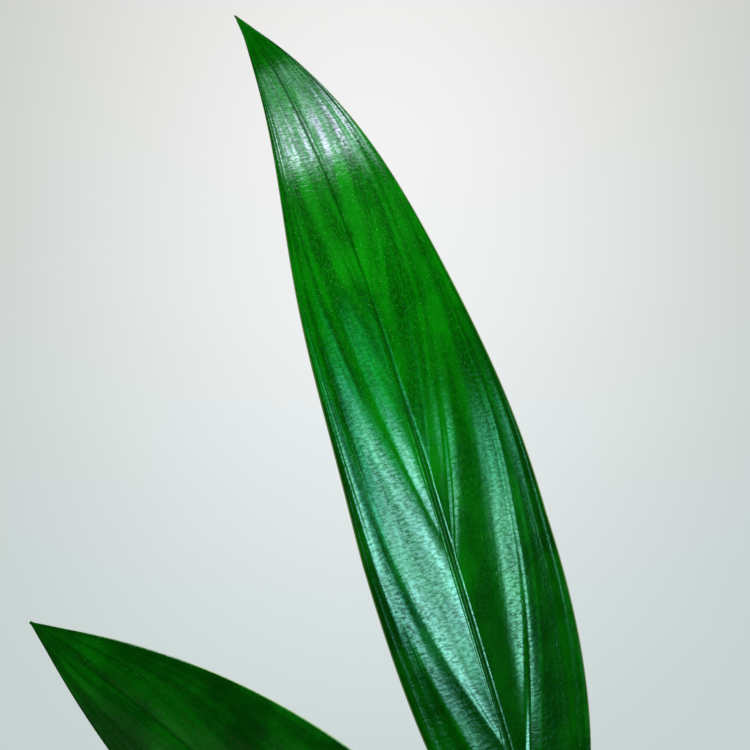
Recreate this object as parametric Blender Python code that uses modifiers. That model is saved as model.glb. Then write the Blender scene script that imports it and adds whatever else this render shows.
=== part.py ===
"""A potted pothos with narrow, pointed leaves. Metres, +Z up, origin under the middle of the pot."""

import math

import bmesh
import bpy
import numpy as np
from mathutils import Vector

MM = 0.001
GAP = 0.3 * MM
WELD = 0.01 * MM

# The pot: a turned clay pot with a rim band, flat underneath, with drain holes around its middle.
POT_HEIGHT = 112 * MM
POT_TOP_RADIUS = 60 * MM
POT_FOOT_RADIUS = 43 * MM
POT_WALL = 5 * MM
POT_FLOOR = 8 * MM
RIM_HEIGHT = 26 * MM
RIM_PROUD = 3.5 * MM
EDGE_RADIUS = 1.6 * MM
POT_STEPS = 72
DRAIN_HOLES = 4
DRAIN_RADIUS = 4.5 * MM
DRAIN_STEPS = 20
DRAIN_CIRCLE = 24 * MM

# The soil fills the pot to just under its rim, and is a little higher in the middle.
SOIL_TOP = 97 * MM
SOIL_CROWN = 2.5 * MM
SOIL_RINGS = 5

# The vines: for each, its foot on the soil, its tip, and its radius at the foot and at the tip, in mm.
VINE_DEPTH = 32 * MM
VINE_SPACING = 4 * MM
VINE_ZIGZAG = 1.1 * MM
VINE_SWINGS = 3
VINE_TIP_ROUNDING = 0.75
VINE_SIDES = 3
VINES = {
    "rear": {"foot": (7, 12), "tip": (3, 8, 150), "radius": (3.3, 2.4)},
    "right": {"foot": (20, -15), "tip": (24, -20, 128), "radius": (3.1, 2.3)},
    "left": {"foot": (-19, -3), "tip": (-26, 1, 136), "radius": (3.2, 2.3)},
}

# Blades share one outline rule: widest at WIDEST of the length, a round foot and a drawn-out tip, which
# each leaf's own point value makes slimmer or blunter.
WIDEST = 0.374
FOOT_POWER = 2.4
FOOT_ROUND = 0.62
BLADE_THICKNESS = 0.9 * MM
FOOT_HALF_WIDTH = 1.7 * MM
TIP_HALF_WIDTH = 0.35 * MM
BLADE_LENGTH_STEPS = 20
BLADE_WIDTH_STEPS = 6
RIPPLE_SHIFT = 1.5
FINE_STEPS = 400

# Stalks: thick where they clasp the vine, thin in the middle and swollen at the joint below the blade.
STALK_FOOT_RADIUS = 2.9 * MM
STALK_RADIUS = 1.75 * MM
STALK_JOINT_RADIUS = 2.1 * MM
STALK_CLASP_END = 0.35
STALK_JOINT_START = 0.8
STALK_JOINT_FULL = 0.92
STALK_FOOT_PULL = 0.45
STALK_TOP_PULL = 0.28
STALK_TOP_LIFT = 0.35
STALK_POINTS = 14

# A little more than the usual gap where a slanted end meets its seat: a stalk's foot on its vine, and
# the upper end of a stalk or the foot of the rolled leaf.
CLASP_CLEARANCE = 0.38 * MM
END_CLEARANCE = 0.7 * MM

# Each leaf: the vine and the height that its stalk leaves it at, the blade's foot, heading and rise at
# the foot, or its direction and face given outright, then its size and how it bends. Lengths in mm,
# angles in degrees. wide makes one half broader, arch bends the blade back from its face and sweep bends
# it sideways, each with its power, fold lifts both halves from the midrib and curl rolls their edges back.
LEAVES = {
    "tall": {
        "vine": "rear", "knot": 142, "foot": (-0.3, 0, 232.4), "stalk_rise": 72,
        "towards": (-0.2922, 0.0875, 1.0), "face": (0.2079, -0.9781, 0.0),
        "length": 225.1, "width": 44.6, "wide": 0.11, "arch": (38, 4), "sweep": (-11.9, 5),
        "fold": 6, "curl": 22, "point": 1.914, "ripple": (0.0, 2.0, 0.0),
    },
    "left": {
        "vine": "right", "knot": 108, "foot": (19.4, -49.7, 168.4), "stalk_rise": 54,
        "towards": (-0.5629, -0.12, 0.8265), "face": (0.15, -1.0, 0.35),
        "length": 185, "width": 47, "wide": 0.064, "arch": (16, 2), "sweep": (-16.9, 1.447),
        "fold": 5, "curl": 20, "point": 2.4, "ripple": (0.5, 1.5, 1.0),
    },
    "right": {
        "vine": "rear", "knot": 134, "foot": (66, 6, 212), "stalk_rise": 64,
        "heading": -8, "rise": 44, "roll": -16,
        "length": 206, "width": 44, "wide": -0.05, "arch": (82, 1.5), "sweep": (8, 2),
        "fold": 9, "curl": 24, "point": 2.1, "ripple": (1.2, 2.5, 0.4),
    },
    "front_right": {
        "vine": "right", "knot": 120, "foot": (56, -74, 166), "stalk_rise": 58,
        "heading": -50, "rise": 26, "roll": 8,
        "length": 188, "width": 43, "wide": 0.06, "arch": (72, 1.4), "sweep": (-10, 2),
        "fold": 9, "curl": 22, "point": 2.2, "ripple": (1.0, 2.0, 2.2),
    },
    "front_left": {
        "vine": "left", "knot": 112, "foot": (-38, -66, 154), "stalk_rise": 54,
        "heading": 238, "rise": 22, "roll": -10,
        "length": 176, "width": 41, "wide": -0.06, "arch": (70, 1.5), "sweep": (9, 2),
        "fold": 10, "curl": 22, "point": 2.0, "ripple": (1.1, 2.5, 0.9),
    },
    "back": {
        "vine": "rear", "knot": 124, "foot": (14, 76, 187), "stalk_rise": 62,
        "heading": 78, "rise": 29, "roll": 10,
        "length": 198, "width": 45, "wide": 0.05, "arch": (70, 1.4), "sweep": (-8, 2),
        "fold": 9, "curl": 24, "point": 2.0, "ripple": (1.2, 2.0, 3.0),
    },
    "back_left": {
        "vine": "left", "knot": 130, "foot": (-78, 44, 186), "stalk_rise": 58,
        "heading": 152, "rise": 34, "roll": -8,
        "length": 192, "width": 43, "wide": -0.07, "arch": (74, 1.5), "sweep": (-9, 2),
        "fold": 8, "curl": 24, "point": 2.15, "ripple": (1.1, 2.5, 1.7),
    },
    "low_left": {
        "vine": "left", "knot": 120, "foot": (-84, -22, 148), "stalk_rise": 46,
        "heading": 196, "rise": 16, "roll": 12,
        "length": 168, "width": 41, "wide": 0.06, "arch": (56, 1.4), "sweep": (8, 2),
        "fold": 10, "curl": 20, "point": 2.3, "ripple": (0.9, 2.0, 0.2),
    },
    "back_right": {
        "vine": "right", "knot": 126, "foot": (78, 46, 160), "stalk_rise": 52,
        "heading": 34, "rise": 24, "roll": 10,
        "length": 174, "width": 41, "wide": 0.05, "arch": (64, 1.4), "sweep": (10, 2),
        "fold": 9, "curl": 22, "point": 2.1, "ripple": (1.0, 2.5, 2.6),
    },
    "young": {
        "vine": "right", "knot": 114, "foot": (64, -27, 140), "stalk_rise": 48,
        "heading": -18, "rise": 20, "roll": -6,
        "length": 118, "width": 29, "wide": 0.04, "arch": (52, 1.4), "sweep": (-6, 2),
        "fold": 12, "curl": 18, "point": 2.0, "ripple": (0.6, 2.0, 1.2),
    },
}

# The next leaf, rolled up at the tip of the rear vine: its top and the bulge of its line, in mm, its
# radius where fattest and at its ends, and the share of a half wave that is cut off at its foot.
ROLL_TOP = (21, 17, 243)
ROLL_BULGE = (-4, -2, 6)
ROLL_RADIUS = 3.1 * MM
ROLL_TIP_RADIUS = 0.55 * MM
ROLL_FOOT_CUT = 0.22
ROLL_POINTS = 14

# Brown roots at the knots: vine, height, heading in degrees, reach, height of the end and radius, in mm.
ROOTS = [
    {"vine": "rear", "knot": 114, "heading": 120, "reach": 16, "end": 99.8, "radius": 1.1},
    {"vine": "right", "knot": 106, "heading": -20, "reach": 15, "end": 99.4, "radius": 1.0},
    {"vine": "left", "knot": 116, "heading": 170, "reach": 17, "end": 99.3, "radius": 1.1},
    {"vine": "left", "knot": 125, "heading": 40, "reach": 12, "end": 113, "radius": 0.9},
]
ROOT_SPREAD = 2 * MM
ROOT_TAPER = 0.35
ROOT_POINTS = 9


def clear_scene():
    for item in list(bpy.data.objects):
        bpy.data.objects.remove(item, do_unlink=True)


def new_collection(name):
    collection = bpy.data.collections.new(name)
    bpy.context.scene.collection.children.link(collection)
    return collection


def principled(name, colour, roughness, metallic=0.0):
    material = bpy.data.materials.new(name)
    material.use_nodes = True
    shader = material.node_tree.nodes["Principled BSDF"]
    shader.inputs["Base Color"].default_value = (*colour, 1.0)
    shader.inputs["Roughness"].default_value = roughness
    shader.inputs["Metallic"].default_value = metallic
    return material


def add_object(name, data, collection, material=None):
    item = bpy.data.objects.new(name, data)
    collection.objects.link(item)
    if material is not None:
        data.materials.append(material)
    return item


def filleted(corners, radius, steps=2):
    """The outline through the corners, with each one rounded by an arc, given as (x, z) pairs.
    A corner on the axis, and one too near its neighbours, stays sharp."""
    points = []
    for i, (x, z) in enumerate(corners):
        here = Vector((x, z))
        before = Vector(corners[i - 1]) - here if i > 0 else None
        after = Vector(corners[i + 1]) - here if i + 1 < len(corners) else None
        if before is None or after is None or x < radius or min(before.length, after.length) < 2 * radius:
            points.append((x, z))
            continue
        half_angle = before.angle(after) / 2
        setback = min(radius / math.tan(half_angle), before.length / 2, after.length / 2)
        start = here + before.normalized() * setback
        end = here + after.normalized() * setback
        for k in range(steps + 1):
            t = k / steps
            point = start * (1 - t) ** 2 + here * 2 * t * (1 - t) + end * t**2
            points.append((point.x, point.y))
    return points


def turned(name, outline, steps, collection, material=None):
    """A turned solid: the outline in the XZ plane, carried round Z by a Screw modifier."""
    mesh = bpy.data.meshes.new(name)
    edges = [(i, i + 1) for i in range(len(outline) - 1)]
    mesh.from_pydata([(x, 0.0, z) for x, z in outline], edges, [])
    item = add_object(name, mesh, collection, material)
    screw = item.modifiers.new("Turn", "SCREW")
    screw.steps = steps
    screw.render_steps = steps
    screw.use_merge_vertices = True
    screw.merge_threshold = WELD
    screw.use_smooth_shade = True
    return item


def cut_away(item, cutters):
    """Cuts each cutter out of the item with an exact Boolean."""
    for cutter in cutters:
        cutter.hide_render = True
        cutter.display_type = "WIRE"
        cut = item.modifiers.new("Cut " + cutter.name, "BOOLEAN")
        cut.operation = "DIFFERENCE"
        cut.solver = "EXACT"
        cut.object = cutter


def tube(name, points, radii, collection, material=None, sides=2):
    """A tube along the points, as a curve with filled caps, whose radius changes from point to point."""
    curve = bpy.data.curves.new(name, "CURVE")
    curve.dimensions = "3D"
    curve.bevel_depth = 1.0
    curve.bevel_resolution = sides
    curve.use_fill_caps = True
    spline = curve.splines.new("POLY")
    spline.points.add(len(points) - 1)
    for place, point, radius in zip(spline.points, points, radii):
        place.co = (*point, 1.0)
        place.radius = radius
    spline.use_smooth = True
    return add_object(name, curve, collection, material)


def mesh_of_curve(item, collection):
    """A closed mesh object in place of a curve object, with its caps welded."""
    bpy.context.view_layer.update()
    evaluated = item.evaluated_get(bpy.context.evaluated_depsgraph_get())
    mesh = bpy.data.meshes.new_from_object(evaluated)
    work = bmesh.new()
    work.from_mesh(mesh)
    bmesh.ops.remove_doubles(work, verts=work.verts, dist=WELD)
    bmesh.ops.recalc_face_normals(work, faces=work.faces)
    work.to_mesh(mesh)
    work.free()
    name = item.name
    matrix = item.matrix_world.copy()
    curve = item.data
    bpy.data.objects.remove(item, do_unlink=True)
    bpy.data.curves.remove(curve)
    solid = bpy.data.objects.new(name, mesh)
    collection.objects.link(solid)
    solid.matrix_world = matrix
    return solid


def inner_radius(z):
    """The pot's inner radius at height z."""
    share = z / POT_HEIGHT
    return POT_FOOT_RADIUS + (POT_TOP_RADIUS - POT_FOOT_RADIUS) * share - POT_WALL


def make_pot(collection, cutters, material):
    outer_at_rim = inner_radius(POT_HEIGHT - RIM_HEIGHT) + POT_WALL
    corners = [
        (0.0, POT_FLOOR),
        (inner_radius(POT_FLOOR), POT_FLOOR),
        (inner_radius(POT_HEIGHT), POT_HEIGHT),
        (POT_TOP_RADIUS + RIM_PROUD, POT_HEIGHT),
        (outer_at_rim + RIM_PROUD, POT_HEIGHT - RIM_HEIGHT),
        (outer_at_rim, POT_HEIGHT - RIM_HEIGHT),
        (POT_FOOT_RADIUS, 0.0),
        (0.0, 0.0),
    ]
    pot = turned("pot", filleted(corners, EDGE_RADIUS), POT_STEPS, collection, material)
    drills = []
    for i in range(DRAIN_HOLES):
        angle = math.tau * (i + 0.5) / DRAIN_HOLES
        bpy.ops.mesh.primitive_cylinder_add(
            vertices=DRAIN_STEPS,
            radius=DRAIN_RADIUS,
            depth=4 * POT_FLOOR,
            location=(DRAIN_CIRCLE * math.cos(angle), DRAIN_CIRCLE * math.sin(angle), 0.0),
        )
        drill = bpy.context.active_object
        drill.name = f"drain_drill_{i + 1}"
        for owner in list(drill.users_collection):
            owner.objects.unlink(drill)
        cutters.objects.link(drill)
        drills.append(drill)
    cut_away(pot, drills)
    return pot


def vine_line(vine):
    """Points from the buried foot to the tip of a vine, with the slight zigzag that its knots give it."""
    foot = np.array([*vine["foot"], 0.0]) * MM
    foot[2] = SOIL_TOP
    tip = np.array(vine["tip"]) * MM
    z = np.arange(SOIL_TOP - VINE_DEPTH, tip[2] + VINE_SPACING / 2, VINE_SPACING)
    z[-1] = tip[2]
    share = (z - SOIL_TOP) / (tip[2] - SOIL_TOP)
    line = foot + (tip - foot) * np.maximum(share, 0)[:, None]
    swing = np.where(share > 0, np.sin(share * VINE_SWINGS * math.pi), 0.0) * VINE_ZIGZAG
    line[:, 0] += swing
    line[:, 1] -= 0.6 * swing
    line[:, 2] = z
    wide, slim = np.array(vine["radius"]) * MM
    radii = wide + (slim - wide) * np.clip(share, 0, 1)
    radii[-1] *= VINE_TIP_ROUNDING
    return line, radii


def on_vine(vine, height):
    """The middle of a vine and its radius at a height."""
    line, radii = vine_line(vine)
    place = [np.interp(height, line[:, 2], line[:, k]) for k in range(3)]
    return np.array(place), float(np.interp(height, line[:, 2], radii))


def make_soil(collection, cutters, material, vines):
    floor = POT_FLOOR + GAP
    edge = inner_radius(SOIL_TOP) - GAP
    side = filleted([(edge, SOIL_TOP), (inner_radius(floor) - GAP, floor), (0.0, floor)], 2 * EDGE_RADIUS)
    crown = []
    for i in range(SOIL_RINGS):
        share = i / SOIL_RINGS
        crown.append((edge * share, SOIL_TOP + SOIL_CROWN * (1 - share**2)))
    soil = turned("potting_soil", crown + side, POT_STEPS, collection, material)
    drills = []
    for name, vine in vines.items():
        line, radii = vine_line(vine)
        low = line[0] - (line[1] - line[0]) / np.linalg.norm(line[1] - line[0]) * GAP
        keep = line[:, 2] < SOIL_TOP + 4 * VINE_SPACING
        points = np.vstack([low, line[keep]])
        wider = np.concatenate([radii[:1], radii[keep]]) + GAP
        drill = tube(f"vine_drill_{name}", points, wider, cutters, sides=VINE_SIDES)
        drills.append(mesh_of_curve(drill, cutters))
    cut_away(soil, drills)
    return soil


def unit(vector):
    vector = np.array(vector, float)
    return vector / np.linalg.norm(vector)


def leaf_axes(leaf):
    """The blade's direction at its foot, its face there and its side, as unit vectors."""
    if "towards" in leaf:
        towards = unit(leaf["towards"])
        face = np.array(leaf["face"], float)
    else:
        heading, rise, roll = (math.radians(leaf[key]) for key in ("heading", "rise", "roll"))
        flat = np.array([math.cos(heading), math.sin(heading), 0.0])
        towards = flat * math.cos(rise) + np.array([0.0, 0.0, math.sin(rise)])
        aside = np.array([-flat[1], flat[0], 0.0])
        face = np.array([0.0, 0.0, math.cos(roll)]) + aside * math.sin(roll)
    face = unit(face - np.dot(face, towards) * towards)
    return towards, face, np.cross(towards, face)


def blade_points(leaf, s, u):
    """Points of a blade's middle surface, s from its foot (0) to its tip (1), u across it (-1 to 1).
    The midrib turns back from the face by arch and sideways by sweep, as powers of s. Across, each half
    leaves the midrib at the fold angle and rolls back evenly by the curl angle."""
    towards, face, side = leaf_axes(leaf)
    fine = np.linspace(0, 1, FINE_STEPS)

    def turned_axes(at):
        sweep = math.radians(leaf["sweep"][0]) * at ** leaf["sweep"][1]
        arch = math.radians(leaf["arch"][0]) * at ** leaf["arch"][1]
        level = np.cos(sweep)[:, None] * towards + np.sin(sweep)[:, None] * side
        along = np.cos(arch)[:, None] * level - np.sin(arch)[:, None] * face
        up = np.cos(arch)[:, None] * face + np.sin(arch)[:, None] * level
        across = np.cos(sweep)[:, None] * side - np.sin(sweep)[:, None] * towards
        return along, up, across

    length = leaf["length"] * MM
    along = turned_axes(fine)[0]
    steps = (along[1:] + along[:-1]) / 2 * length / (FINE_STEPS - 1)
    line = np.vstack([np.zeros(3), np.cumsum(steps, axis=0)]) + np.array(leaf["foot"]) * MM
    midrib = np.stack([np.interp(s, fine, line[:, k]) for k in range(3)], axis=-1)
    up, across = turned_axes(s)[1:]

    below = np.clip((WIDEST - s) / WIDEST, 0, 1)
    above = np.clip((s - WIDEST) / (1 - WIDEST), 0, 1)
    outline = np.where(s < WIDEST, (1 - below**FOOT_POWER) ** FOOT_ROUND, 1 - above ** leaf["point"])
    least = FOOT_HALF_WIDTH + (TIP_HALF_WIDTH - FOOT_HALF_WIDTH) * s
    half = ((leaf["width"] * MM / 2 * outline) ** 4 + least**4) ** 0.25
    half = half * (1 + leaf["wide"] * np.sign(u) * outline)

    fold, curl = math.radians(leaf["fold"]), math.radians(leaf["curl"])
    reach = np.abs(u)
    flat = (math.sin(fold) - np.sin(fold - curl * reach)) / curl
    lift = (np.cos(fold - curl * reach) - math.cos(fold)) / curl
    height, waves, phase = leaf["ripple"]
    wave = height * MM * u**2 * outline * np.sin(math.tau * waves * s + phase + RIPPLE_SHIFT * np.sign(u))
    place = midrib + (half * flat * np.sign(u))[:, None] * across
    return place + (half * lift + wave)[:, None] * up


def make_blade(name, leaf, collection, material):
    """A grid shaped by the blade rule and given its thickness by a Solidify modifier."""
    work = bmesh.new()
    bmesh.ops.create_grid(work, x_segments=BLADE_LENGTH_STEPS, y_segments=BLADE_WIDTH_STEPS, size=1.0)
    flat = np.array([vertex.co[:2] for vertex in work.verts])
    s = (flat[:, 0] - flat[:, 0].min()) / np.ptp(flat[:, 0])
    u = flat[:, 1] / np.abs(flat[:, 1]).max()
    for vertex, point in zip(work.verts, blade_points(leaf, s, u)):
        vertex.co = point
    mesh = bpy.data.meshes.new(name)
    work.to_mesh(mesh)
    work.free()
    mesh.shade_smooth()
    blade = add_object(name, mesh, collection, material)
    thicken = blade.modifiers.new("Thickness", "SOLIDIFY")
    thicken.thickness = BLADE_THICKNESS
    thicken.offset = 0.0
    return blade


def stalk_line(leaf, vine):
    """A stalk's points and radii, on a Bezier curve from beside its vine to just below the blade."""
    towards = leaf_axes(leaf)[0]
    foot = np.array(leaf["foot"]) * MM
    middle, vine_radius = on_vine(vine, leaf["knot"] * MM)
    rise = math.radians(leaf["stalk_rise"])
    flat = unit([*(foot - middle)[:2], 0.0])
    setting_out = flat * math.cos(rise) + np.array([0.0, 0.0, math.sin(rise)])
    above = on_vine(vine, leaf["knot"] * MM + STALK_FOOT_RADIUS * math.cos(rise))[0]
    lean = np.dot(above - middle, flat)
    start = middle + flat * (vine_radius + CLASP_CLEARANCE + lean + STALK_FOOT_RADIUS * math.sin(rise))
    end = foot - towards * END_CLEARANCE
    arrival = unit(towards + np.array([0.0, 0.0, STALK_TOP_LIFT]))
    reach = np.linalg.norm(end - start)
    second = start + setting_out * reach * STALK_FOOT_PULL
    third = end - arrival * reach * STALK_TOP_PULL
    t = np.linspace(0, 1, STALK_POINTS)[:, None]
    line = start * (1 - t) ** 3 + 3 * second * t * (1 - t) ** 2 + 3 * third * t**2 * (1 - t) + end * t**3
    t = t[:, 0]
    clasp = np.clip(1 - t / STALK_CLASP_END, 0, 1) ** 2
    joint = np.clip((t - STALK_JOINT_START) / (STALK_JOINT_FULL - STALK_JOINT_START), 0, 1)
    radii = STALK_RADIUS + (STALK_FOOT_RADIUS - STALK_RADIUS) * clasp
    radii += (STALK_JOINT_RADIUS - STALK_RADIUS) * joint
    return line, radii


def make_roll(collection, material, vine):
    """The rolled leaf: a long spindle from the vine's tip, fattest a third of the way up."""
    start = np.array(vine["tip"]) * MM + np.array([0.0, 0.0, END_CLEARANCE])
    end = np.array(ROLL_TOP) * MM
    t = np.linspace(0, 1, ROLL_POINTS)[:, None]
    bend = (start + end) / 2 + np.array(ROLL_BULGE) * MM
    line = start * (1 - t) ** 2 + 2 * bend * t * (1 - t) + end * t**2
    swell = np.sin(math.pi * (ROLL_FOOT_CUT + (1 - ROLL_FOOT_CUT) * t[:, 0]))
    radii = ROLL_TIP_RADIUS + (ROLL_RADIUS - ROLL_TIP_RADIUS) * np.maximum(swell, 0)
    return tube("new_leaf_roll", line, radii, collection, material, sides=3)


def make_root(number, root, collection, material):
    """A root that leaves its vine level and turns down towards the soil."""
    middle, vine_radius = on_vine(VINES[root["vine"]], root["knot"] * MM)
    heading = math.radians(root["heading"])
    flat = np.array([math.cos(heading), math.sin(heading), 0.0])
    start = middle + flat * (vine_radius + GAP)
    corner = middle + flat * root["reach"] * MM
    end = corner + flat * ROOT_SPREAD
    end[2] = root["end"] * MM
    t = np.linspace(0, 1, ROOT_POINTS)[:, None]
    line = start * (1 - t) ** 2 + 2 * corner * t * (1 - t) + end * t**2
    radii = root["radius"] * MM * (1 - ROOT_TAPER * t[:, 0])
    return tube(f"aerial_root_{number}", line, radii, collection, material)


def main():
    clear_scene()
    parts = new_collection("potted_pothos")
    cutters = new_collection("cutters")
    clay = principled("terracotta", (0.50, 0.20, 0.11), 0.85)
    earth = principled("potting_mix", (0.045, 0.028, 0.018), 0.95)
    bark = principled("green_vine", (0.10, 0.22, 0.05), 0.5)
    stalk_green = principled("leaf_stalk_green", (0.07, 0.26, 0.04), 0.4)
    leaf_green = principled("glossy_leaf_green", (0.003, 0.11, 0.003), 0.28)
    young_green = principled("young_leaf_green", (0.10, 0.36, 0.04), 0.35)
    root_brown = principled("root_brown", (0.20, 0.11, 0.05), 0.8)

    make_pot(parts, cutters, clay)
    make_soil(parts, cutters, earth, VINES)
    for name, vine in VINES.items():
        line, radii = vine_line(vine)
        tube("vine_" + name, line, radii, parts, bark, sides=VINE_SIDES)
    for name, leaf in LEAVES.items():
        line, radii = stalk_line(leaf, VINES[leaf["vine"]])
        tube("leaf_stalk_" + name, line, radii, parts, stalk_green)
        make_blade("leaf_blade_" + name, leaf, parts, leaf_green)
    make_roll(parts, young_green, VINES["rear"])
    for number, root in enumerate(ROOTS, start=1):
        make_root(number, root, parts, root_brown)


main()
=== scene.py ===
"""The looks of a potted pothos: narrow glossy leaves on slender stalks in a clay pot. Metres, +Z up."""

import math

import bpy
import numpy as np
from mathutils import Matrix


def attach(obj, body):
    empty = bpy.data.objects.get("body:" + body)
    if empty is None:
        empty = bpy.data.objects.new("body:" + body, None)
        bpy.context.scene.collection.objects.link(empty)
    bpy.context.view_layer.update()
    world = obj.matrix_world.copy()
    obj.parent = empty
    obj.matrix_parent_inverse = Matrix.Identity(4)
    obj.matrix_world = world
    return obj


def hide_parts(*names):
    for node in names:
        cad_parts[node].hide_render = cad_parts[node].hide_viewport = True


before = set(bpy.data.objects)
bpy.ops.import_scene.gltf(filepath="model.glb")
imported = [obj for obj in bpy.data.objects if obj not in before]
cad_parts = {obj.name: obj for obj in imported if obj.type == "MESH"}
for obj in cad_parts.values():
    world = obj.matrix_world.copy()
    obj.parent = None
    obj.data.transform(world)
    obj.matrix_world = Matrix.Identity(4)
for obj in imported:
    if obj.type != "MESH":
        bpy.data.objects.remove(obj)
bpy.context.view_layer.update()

MM = 0.001

# The pot
# One piece of plain fired clay, turned on a wheel: even walls, a thick rim band, and four drain holes
# pushed through its floor. It is unglazed, so it stays matt, and salt from the water blooms on it.
POT_HEIGHT = 112 * MM
POT_TOP_RADIUS = 60 * MM
POT_FOOT_RADIUS = 43 * MM
POT_WALL = 5 * MM
POT_FLOOR = 8 * MM
RIM_HEIGHT = 26 * MM
RIM_PROUD = 3.5 * MM
POT_EDGE_RADIUS = 1.7 * MM
POT_STEPS = 200
POT_ROW = 1.1 * MM
POT_MIDDLE = 1.5 * MM
DRAIN_CIRCLE = 24 * MM
DRAIN_RADIUS = 4.5 * MM
DRAIN_STEPS = 25
DRILL_TURN = 0.013
TURNING_MARKS = 0.11 * MM
OUT_OF_ROUND = 0.15 * MM


def smooth_step(value, low, high):
    """0 below low and 1 above high, with an even S between them."""
    share = np.clip((value - low) / (high - low), 0, 1)
    return share * share * (3 - 2 * share)


def wander(place, size, seed):
    """A smooth random curve along a line, from -1 to 1: random heights at every step of the size, joined
    by even S bends."""
    heights = np.random.default_rng(seed).uniform(-1, 1, 4096)
    step = np.asarray(place) / size + 2048
    cell = np.floor(step).astype(int)
    share = step - cell
    share = share * share * (3 - 2 * share)
    return heights[cell % 4096] * (1 - share) + heights[(cell + 1) % 4096] * share


def rounded_line(corners, radius, spacing):
    """The line through the corners, as (across, height) pairs, with each corner replaced by a bend that
    starts the radius before it, and with points a spacing apart all along it."""
    corners = np.array(corners, float)
    line = [corners[0]]
    bend = np.linspace(0, 1, 7)[:, None]
    for before, here, after in zip(corners[:-2], corners[1:-1], corners[2:]):
        start = here + (before - here) * min(0.45, radius / np.linalg.norm(before - here))
        end = here + (after - here) * min(0.45, radius / np.linalg.norm(after - here))
        line.extend(start * (1 - bend) ** 2 + 2 * here * bend * (1 - bend) + end * bend**2)
    line = np.array([*line, corners[-1]])
    gone = np.concatenate([[0], np.cumsum(np.linalg.norm(np.diff(line, axis=0), axis=1))])
    even = np.arange(0, gone[-1], spacing)
    places = np.unique(np.round(np.concatenate([gone, even]), 7))
    return np.stack([np.interp(places, gone, line[:, k]) for k in range(2)], axis=-1)


def closed_skin(rings):
    """The points and faces of a closed skin over a stack of rings, an array of rows, columns and x, y, z:
    quads between neighbouring rings, and a fan to a middle point that closes the first and last ring."""
    rows, columns = rings.shape[:2]
    number = np.arange(rows * columns).reshape(rows, columns)
    number = np.hstack([number, number[:, :1]])
    quads = np.stack([number[:-1, :-1], number[:-1, 1:], number[1:, 1:], number[1:, :-1]], axis=-1)
    first, last = rows * columns, rows * columns + 1
    start = np.stack([np.full(columns, first), number[0, 1:], number[0, :-1]], axis=-1)
    end = np.stack([np.full(columns, last), number[-1, :-1], number[-1, 1:]], axis=-1)
    points = np.vstack([rings.reshape(-1, 3), rings[0].mean(axis=0), rings[-1].mean(axis=0)])
    return points, [quads.reshape(-1, 4), start, end]


def outward(points, faces):
    """The faces, turned over if the volume that they enclose comes out negative."""
    volume = 0.0
    for corners in faces:
        place = points[corners]
        for k in range(1, corners.shape[1] - 1):
            volume += np.einsum("ij,ij->", place[:, 0], np.cross(place[:, k], place[:, k + 1]))
    return [corners[:, ::-1] if volume < 0 else corners for corners in faces]


def new_mesh(name, points, faces):
    """A mesh made of the points and faces, with its faces outwards."""
    mesh = bpy.data.meshes.new(name)
    mesh.from_pydata(points.tolist(), [], [face for part in outward(points, faces) for face in part.tolist()])
    return mesh


def add_piece(name, points, faces, material, slot, replaces=(), **values):
    """A smooth-shaded piece of the plant made of the points and faces, with each of the named values
    stored at its points for the material, which rides on the plant's one body."""
    mesh = new_mesh(name, points, faces)
    for key, value in values.items():
        kind = "FLOAT_VECTOR" if value.ndim == 2 else "FLOAT"
        field = "vector" if value.ndim == 2 else "value"
        made = mesh.attributes.new(key, kind, "POINT")
        made.data.foreach_set(field, value.astype(np.float32).ravel())
    mesh.shade_smooth()
    mesh.materials.append(material)
    piece = bpy.data.objects.new(name, mesh)
    bpy.context.scene.collection.objects.link(piece)
    if replaces:
        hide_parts(*replaces)
    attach(piece, "root")
    return piece


def with_middles(value):
    """Values at the points of a closed skin: those of its rings, then the mean of the first and last ring."""
    ends = [value[0].mean(axis=0), value[-1].mean(axis=0)]
    return np.concatenate([value.reshape(-1, *value.shape[2:]), np.array(ends)])


def feed(tree, made, inputs):
    """Links each named input of a shader node to a socket, or sets it to a value."""
    for key, value in inputs.items():
        if isinstance(value, bpy.types.NodeSocket):
            tree.links.new(value, made.inputs[key])
        else:
            made.inputs[key].default_value = value


def node(tree, kind, inputs=None, **settings):
    """A shader node with its settings made and its inputs fed."""
    made = tree.nodes.new("ShaderNode" + kind)
    for key, value in settings.items():
        setattr(made, key, value)
    feed(tree, made, inputs or {})
    return made


def blend_colour(tree, share, first, second):
    """The first colour where the share is 0, the second where it is 1."""
    colours = [c if isinstance(c, bpy.types.NodeSocket) else (*c, 1.0) for c in (first, second)]
    return node(tree, "Mix", {0: share, 6: colours[0], 7: colours[1]}, data_type="RGBA").outputs[2]


def sums(tree, how, first, second):
    """What the Math node's named operation makes of two values."""
    return node(tree, "Math", {0: first, 1: second}, operation=how).outputs[0]


def times(tree, first, second):
    """The product of two values."""
    return sums(tree, "MULTIPLY", first, second)


def window(tree, value, low, high):
    """A value taken from low..high to 0..1, with soft ends."""
    inputs = {"Value": value, "From Min": low, "From Max": high}
    return node(tree, "MapRange", inputs, interpolation_type="SMOOTHSTEP").outputs["Result"]


def noise(tree, place, size, detail=3.0):
    """Soft noise whose lumps have about the given size in metres, from 0 to 1."""
    inputs = {"Vector": place, "Scale": 1 / size, "Detail": detail}
    return node(tree, "TexNoise", inputs).outputs[0]


def stored(tree, name):
    """A value stored at the points of the piece."""
    return node(tree, "Attribute", attribute_name=name).outputs["Fac"]


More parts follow.
